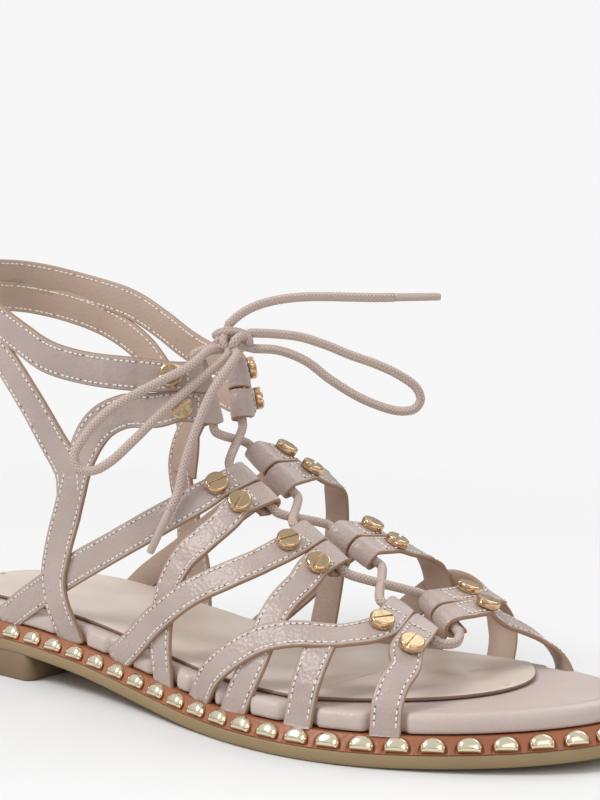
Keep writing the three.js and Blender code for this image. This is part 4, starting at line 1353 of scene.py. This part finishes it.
# %% Rows on top
places, ups, alongs = [], [], []
for (name, side), (line, across, up, widths, at) in strap_lines.items():
    on_tab = tab_of(name)[0] is not None
    for hand in (-1, 1):
        for stitch in np.arange(FIRST_STITCH[on_tab], at[-1] - LAST_STITCH, STITCH_PITCH):
            i = int(np.searchsorted(at, stitch))
            offset = hand * (widths[i] / 2 - STITCH_INSET)
            crown = 0.18 * (1 - (2 * offset / widths[i]) ** 2)
            lift = LEATHER / 2 + crown - STITCH_SUNK + crease(name, at[i])
            places.append(line[i] + across[i] * offset + up[i] * lift)
            ups.append(up[i])
            alongs.append(line[min(i + 1, len(line) - 1)] - line[i - 1])
    if on_tab:
        i = int(np.searchsorted(at, CROSS_ROW))
        for offset in np.arange(-widths[i] / 2 + 2.2, widths[i] / 2 - 2, 1.7):
            places.append(line[i] + across[i] * offset + up[i] * (LEATHER / 2 + 0.1))
            ups.append(up[i])
            alongs.append(across[i])
stitches = scatter("strap_stitches", stitch_shape(), places, ups, alongs)

# %% [markdown]
# The straps that stand round the ankle show their lining, so they have rows on it too.

# %% Rows on the lining
places, ups, alongs = [], [], []
for (name, side), (line, across, up, widths, at) in strap_lines.items():
    if name not in ("collar", "heel_sling", "upright"):
        continue
    for hand in (-1, 1):
        for stitch in np.arange(LINING_FIRST, at[-1] - 4, STITCH_PITCH):
            i = int(np.searchsorted(at, stitch))
            offset = hand * (widths[i] / 2 - STITCH_INSET)
            places.append(line[i] + across[i] * offset - up[i] * (LEATHER / 2 - 0.02))
            ups.append(-up[i])
            alongs.append(line[min(i + 1, len(line) - 1)] - line[i - 1])
lining_stitches = scatter("lining_stitches", stitch_shape(), places, ups, alongs)

# %% [markdown]
# Each strap of a tab is held by a screw with a plain slotted head: bevelled rose-gold sides,
# a brushed bronze top, and a bright slot.

# %% Screws
HEAD_RADIUS = 3.7
HEAD_HEIGHT = 2.2
SLOT_HALF = 0.45


def screw_shape():
    """A round head with bevelled sides and a slot cut across its top."""
    rings = [(3.55, -0.35), (HEAD_RADIUS, 0.1), (HEAD_RADIUS, HEAD_HEIGHT - 0.55), (3.45, HEAD_HEIGHT - 0.15)]
    rings += [(3.1, HEAD_HEIGHT)]
    around = 48
    points = [
        (radius * math.cos(k / around * 2 * math.pi), radius * math.sin(k / around * 2 * math.pi), z)
        for radius, z in rings
        for k in range(around)
    ]
    faces = ring_faces(len(rings), around)
    slots = [0] * (len(rings) - 1) * around + [0, 1]
    body = add_mesh("screw shape", points, faces, [screw_side, screw_top], slots)
    box = [(x, y, z) for x in (-SLOT_HALF, SLOT_HALF) for y in (-5, 5) for z in (HEAD_HEIGHT - 0.9, 5)]
    sides = [(0, 1, 3, 2), (4, 6, 7, 5), (0, 4, 5, 1), (2, 3, 7, 6), (0, 2, 6, 4), (1, 5, 7, 3)]
    cutter = add_mesh("slot cutter", box, sides, [screw_side])
    cut = body.modifiers.new("slot", "BOOLEAN")
    cut.operation = "DIFFERENCE"
    cut.object = cutter
    cut.solver = "EXACT"
    graph = bpy.context.evaluated_depsgraph_get()
    shape = bpy.data.meshes.new_from_object(body.evaluated_get(graph))
    bpy.data.objects.remove(cutter)
    bpy.data.objects.remove(body)
    for face in shape.polygons:
        face.use_smooth = abs(face.normal.z) < 0.99 and face.center.z < (HEAD_HEIGHT - 0.05) * MM
    result = bpy.data.objects.new("screw shape", shape)
    bpy.context.scene.collection.objects.link(result)
    return result


# %% [markdown]
# One screw stands on each strap of each tab, with its slot turned a little.

# %% All screws
places, ups, alongs, screw_nodes = [], [], [], []
for side, label in ((-1, "outer"), (1, "inner")):
    for names in TABS:
        for name, hand in zip(names, (-1, 1)):
            seat, out, across = screw_seat(names, side, hand)
            places.append(seat)
            ups.append(out)
            alongs.append(unit(across + 0.35 * hand * np.cross(out, across)))
            screw_nodes.append(f"screw_{name}_{label}")
screws = scatter("screw_heads", screw_shape(), places, ups, alongs)

# %% [markdown]
# The lace is one braided cord. It goes up through the folded loops from side to side, with a
# bar across the toe, and is tied in a bow over the top pair. Loops and ends are free cords.

# %% Lace
LACE_RADIUS = 1.45
LEAD = 2.2
KNOT_PLACE = (90, -1, 111.5)


def run_through(sides):
    """The lace's way down through the loops of the four tabs."""
    places = []
    for names, side in zip(TABS[::-1], sides):
        centre, out, across, breadth = loop_centre(names, side)
        reach = breadth / 2
        places += [centre + across * d for d in (-reach - LEAD, -reach, reach, reach + LEAD)]
    return places


runs = [run_through((1, -1, 1, -1)), run_through((-1, 1, -1, 1))]
bar_middle = (runs[0][-1] + runs[1][-1]) / 2 + (LEAD, 0, -LEAD / 2)
bar = [runs[0][-2], runs[0][-1], bar_middle, runs[1][-1], runs[1][-2]]
knot_in = [np.array(KNOT_PLACE) + (-3, 2.5, -1), np.array(KNOT_PLACE) + (-3, -2.5, -1)]
smooth_run = lambda places: spline_at(places, np.linspace(0, 1, 220))
lace_parts = [tube(smooth_run([start, *run]), LACE_RADIUS) for start, run in zip(knot_in, runs)]
lace_parts.append(tube(smooth_run(bar), LACE_RADIUS))
lace_threaded = joined_mesh("lace_threaded_runs", lace_parts, [lace_braid])

# %% [markdown]
# The knot is three turns of cord side by side, with one strand across them. Short stubs lead
# each loop and end of the bow into it.

# %% Knot
turns = np.linspace(0, 2 * math.pi, 60)
knot_parts = []
for shift, lean, reach in ((-3.6, 0.5, 2.7), (-0.4, -0.35, 3.2), (3.2, 0.4, 2.7)):
    ring = [shift + lean * np.sin(turns) * 3, reach * np.cos(turns), reach * np.sin(turns) * 0.85]
    ring = np.stack(ring, -1)
    knot_parts.append(tube(ring + KNOT_PLACE, LACE_RADIUS, step=0.8))
across_knot = [(-5.2, -1.5, 2.2), (-2, -2.4, 3.4), (1.5, 0.5, 3.6), (4.6, 2.4, 2.2), (5.6, 2.2, 0)]
knot_parts.append(tube(smooth_run(np.array(across_knot) + KNOT_PLACE), LACE_RADIUS * 0.95, step=0.8))
for name, places in BOW.items():
    starts = [places[0], places[-1]] if "loop" in name else [places[0]]
    for start in starts:
        inward = np.array(KNOT_PLACE) - start
        stub = [np.array(start), start + 0.35 * inward, start + 0.7 * inward]
        knot_parts.append(tube(stub, LACE_RADIUS * 0.98))
lace_knot = joined_mesh("lace_bow_knot", knot_parts, [lace_braid])

# %% [markdown]
# The loops and ends follow their points, and each end has a stiff tip.

# %% Bow
bow_cords = {}
for name, places in BOW.items():
    line = spline_at(places, np.linspace(0, 1, 160))
    line = evenly(line, 1.0)[0]
    points, faces, uvs = tube(line, LACE_RADIUS)
    cord = add_mesh(name.replace("lace_", "lace_bow_"), points, faces, [lace_braid], None, uvs)
    bow_cords[name] = (cord, line)


def tip_shape(name):
    """The stiff tip of a lace end, just past the cord's last point."""
    before, last = (np.array(p) for p in BOW[name][-2:])
    run = unit(last - before)
    across = unit(np.cross(run, (0, 0, 1)))
    over = np.cross(run, across)
    turns = np.arange(24) / 24 * 2 * math.pi
    rings = [
        circle(last + run * at, across, over, radius, turns)
        for at, radius in ((0.3, 0.9), (0.32, 1.24), (0.8, 1.3), (14.2, 1.22), (14.6, 1.05), (14.75, 0.6))
    ]
    tip = name.replace("lace_end", "lace_tip")
    return add_mesh(tip + "_sleeve", np.vstack(rings), ring_faces(len(rings), 24), [tip_plastic])


tips = {name: tip_shape(name) for name in ("lace_end_inner", "lace_end_outer")}
print("lace pieces", 2 + len(bow_cords) + len(tips))

# %% [markdown]
# Each piece rides on the one body and stands for its CAD node, which is hidden. The bow's loops
# and ends stand for their own CAD nodes in the same way.

# %% Ride and replace
for strap in strap_objects:
    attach(strap, "root")
    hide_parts("upper")
for piece, nodes, slot_name in (
    (outsole, ["outsole"], "outsole_rubber"),
    (welt, ["welt"], "welt_leather"),
    (studs, ["welt"], "welt_leather"),
    (footbed, ["footbed"], "footbed_leather"),
    (sock_pad, ["sock_pad"], "pad_leather"),
    (stitches, ["upper"], "strap_leather"),
    (lining_stitches, ["upper"], "strap_leather"),
    (screws, screw_nodes, "screw_brass"),
    (lace_threaded, ["lace_crossings"], "lace_cord"),
    (lace_knot, ["lace_knot"], "lace_cord"),
):
    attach(piece, "root")
    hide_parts(*nodes)
for name, tip in tips.items():
    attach(tip, "root")
    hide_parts(name.replace("lace_end", "lace_tip"))
for name, (cord, line) in bow_cords.items():
    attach(cord, "root")
    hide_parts(name)

# %% [markdown]
# The shoe stands on a plain pale floor. The floor is only a stage, and it thins out into the
# background away from the shoe.

# %% Floor
floor_mesh = bpy.data.meshes.new("floor")
floor_mesh.from_pydata([(-4, -4, 0), (4, -4, 0), (4, 4, 0), (-4, 4, 0)], [], [(0, 1, 2, 3)])
floor_mesh.materials.append(plain_material("floor white", (0.79, 0.79, 0.79, 1), 0.9, specular=0.1))
floor = bpy.data.objects.new("floor", floor_mesh)
bpy.context.scene.collection.objects.link(floor)
floor.location.z = -0.0001


def fade_floor(material, near, far):
    """The floor thins out into the plain background away from the shoe."""
    nodes, links = material.node_tree.nodes, material.node_tree.links
    place = nodes.new("ShaderNodeTexCoord")
    reach = nodes.new("ShaderNodeVectorMath")
    reach.operation = "LENGTH"
    share = nodes.new("ShaderNodeMapRange")
    share.interpolation_type = "SMOOTHSTEP"
    share.inputs["From Min"].default_value = near
    share.inputs["From Max"].default_value = far
    clear = nodes.new("ShaderNodeBsdfTransparent")
    mix = nodes.new("ShaderNodeMixShader")
    links.new(place.outputs["Object"], reach.inputs[0])
    links.new(reach.outputs["Value"], share.inputs["Value"])
    links.new(share.outputs["Result"], mix.inputs["Fac"])
    links.new(nodes["Principled BSDF"].outputs["BSDF"], mix.inputs[1])
    links.new(clear.outputs["BSDF"], mix.inputs[2])
    links.new(mix.outputs["Shader"], nodes["Material Output"].inputs["Surface"])


fade_floor(floor_mesh.materials[0], 0.28, 0.6)

# %% [markdown]
# The camera sees a plain pale background. The shoe sees a studio: bright above and below, with
# a darker band at the horizon that gives the gold its contrast.

# %% Studio light
world = bpy.data.worlds.new("studio")
bpy.context.scene.world = world
world.use_nodes = True
world_nodes, world_links = world.node_tree.nodes, world.node_tree.links
background = world_nodes["Background"]
way = world_nodes.new("ShaderNodeTexCoord")
parts = world_nodes.new("ShaderNodeSeparateXYZ")
ramp = world_nodes.new("ShaderNodeValToRGB")
for place, value in ((0.0, 1.0), (0.5, 0.9), (0.525, 0.25), (0.58, 0.55), (0.75, 1.0)):
    stop = ramp.color_ramp.elements[0] if place == 0 else ramp.color_ramp.elements.new(place)
    stop.position = place
    stop.color = (value, value, value, 1)
lift = world_nodes.new("ShaderNodeMapRange")
lift.inputs["From Min"].default_value = -1
world_links.new(way.outputs["Generated"], parts.inputs["Vector"])
world_links.new(parts.outputs["Z"], lift.inputs["Value"])
world_links.new(lift.outputs["Result"], ramp.inputs["Fac"])
world_links.new(ramp.outputs["Color"], background.inputs["Color"])
background.inputs["Strength"].default_value = 0.72
seen = world_nodes.new("ShaderNodeBackground")
seen.inputs["Color"].default_value = from_srgb(247, 247, 247)
rays = world_nodes.new("ShaderNodeLightPath")
choose = world_nodes.new("ShaderNodeMixShader")
world_links.new(rays.outputs["Is Camera Ray"], choose.inputs["Fac"])
world_links.new(background.outputs["Background"], choose.inputs[1])
world_links.new(seen.outputs["Background"], choose.inputs[2])
world_links.new(choose.outputs["Shader"], world_nodes["World Output"].inputs["Surface"])

# %% [markdown]
# Three soft square lights do the rest: a key from the upper left front, a fill from the right,
# and a weak rim from behind.

# %% Lights
def soft_light(name, place, power, size, aim=(0.1, 0, 0.05)):
    """A square light at a place in metres, turned to the shoe."""
    data = bpy.data.lights.new(name, "AREA")
    data.energy = power
    data.size = size
    light = bpy.data.objects.new(name, data)
    bpy.context.scene.collection.objects.link(light)
    light.location = place
    light.rotation_euler = (Vector(aim) - Vector(place)).to_track_quat("-Z", "Y").to_euler()
    return light


soft_light("key", (-0.45, -0.8, 1.2), 10.5, 0.5)
soft_light("fill", (1.1, -0.5, 0.7), 2.2, 0.9)
soft_light("rim", (0.3, 0.9, 1.0), 4, 0.8)
scene = bpy.context.scene
scene.view_settings.view_transform = "Standard"
scene.view_settings.look = "None"
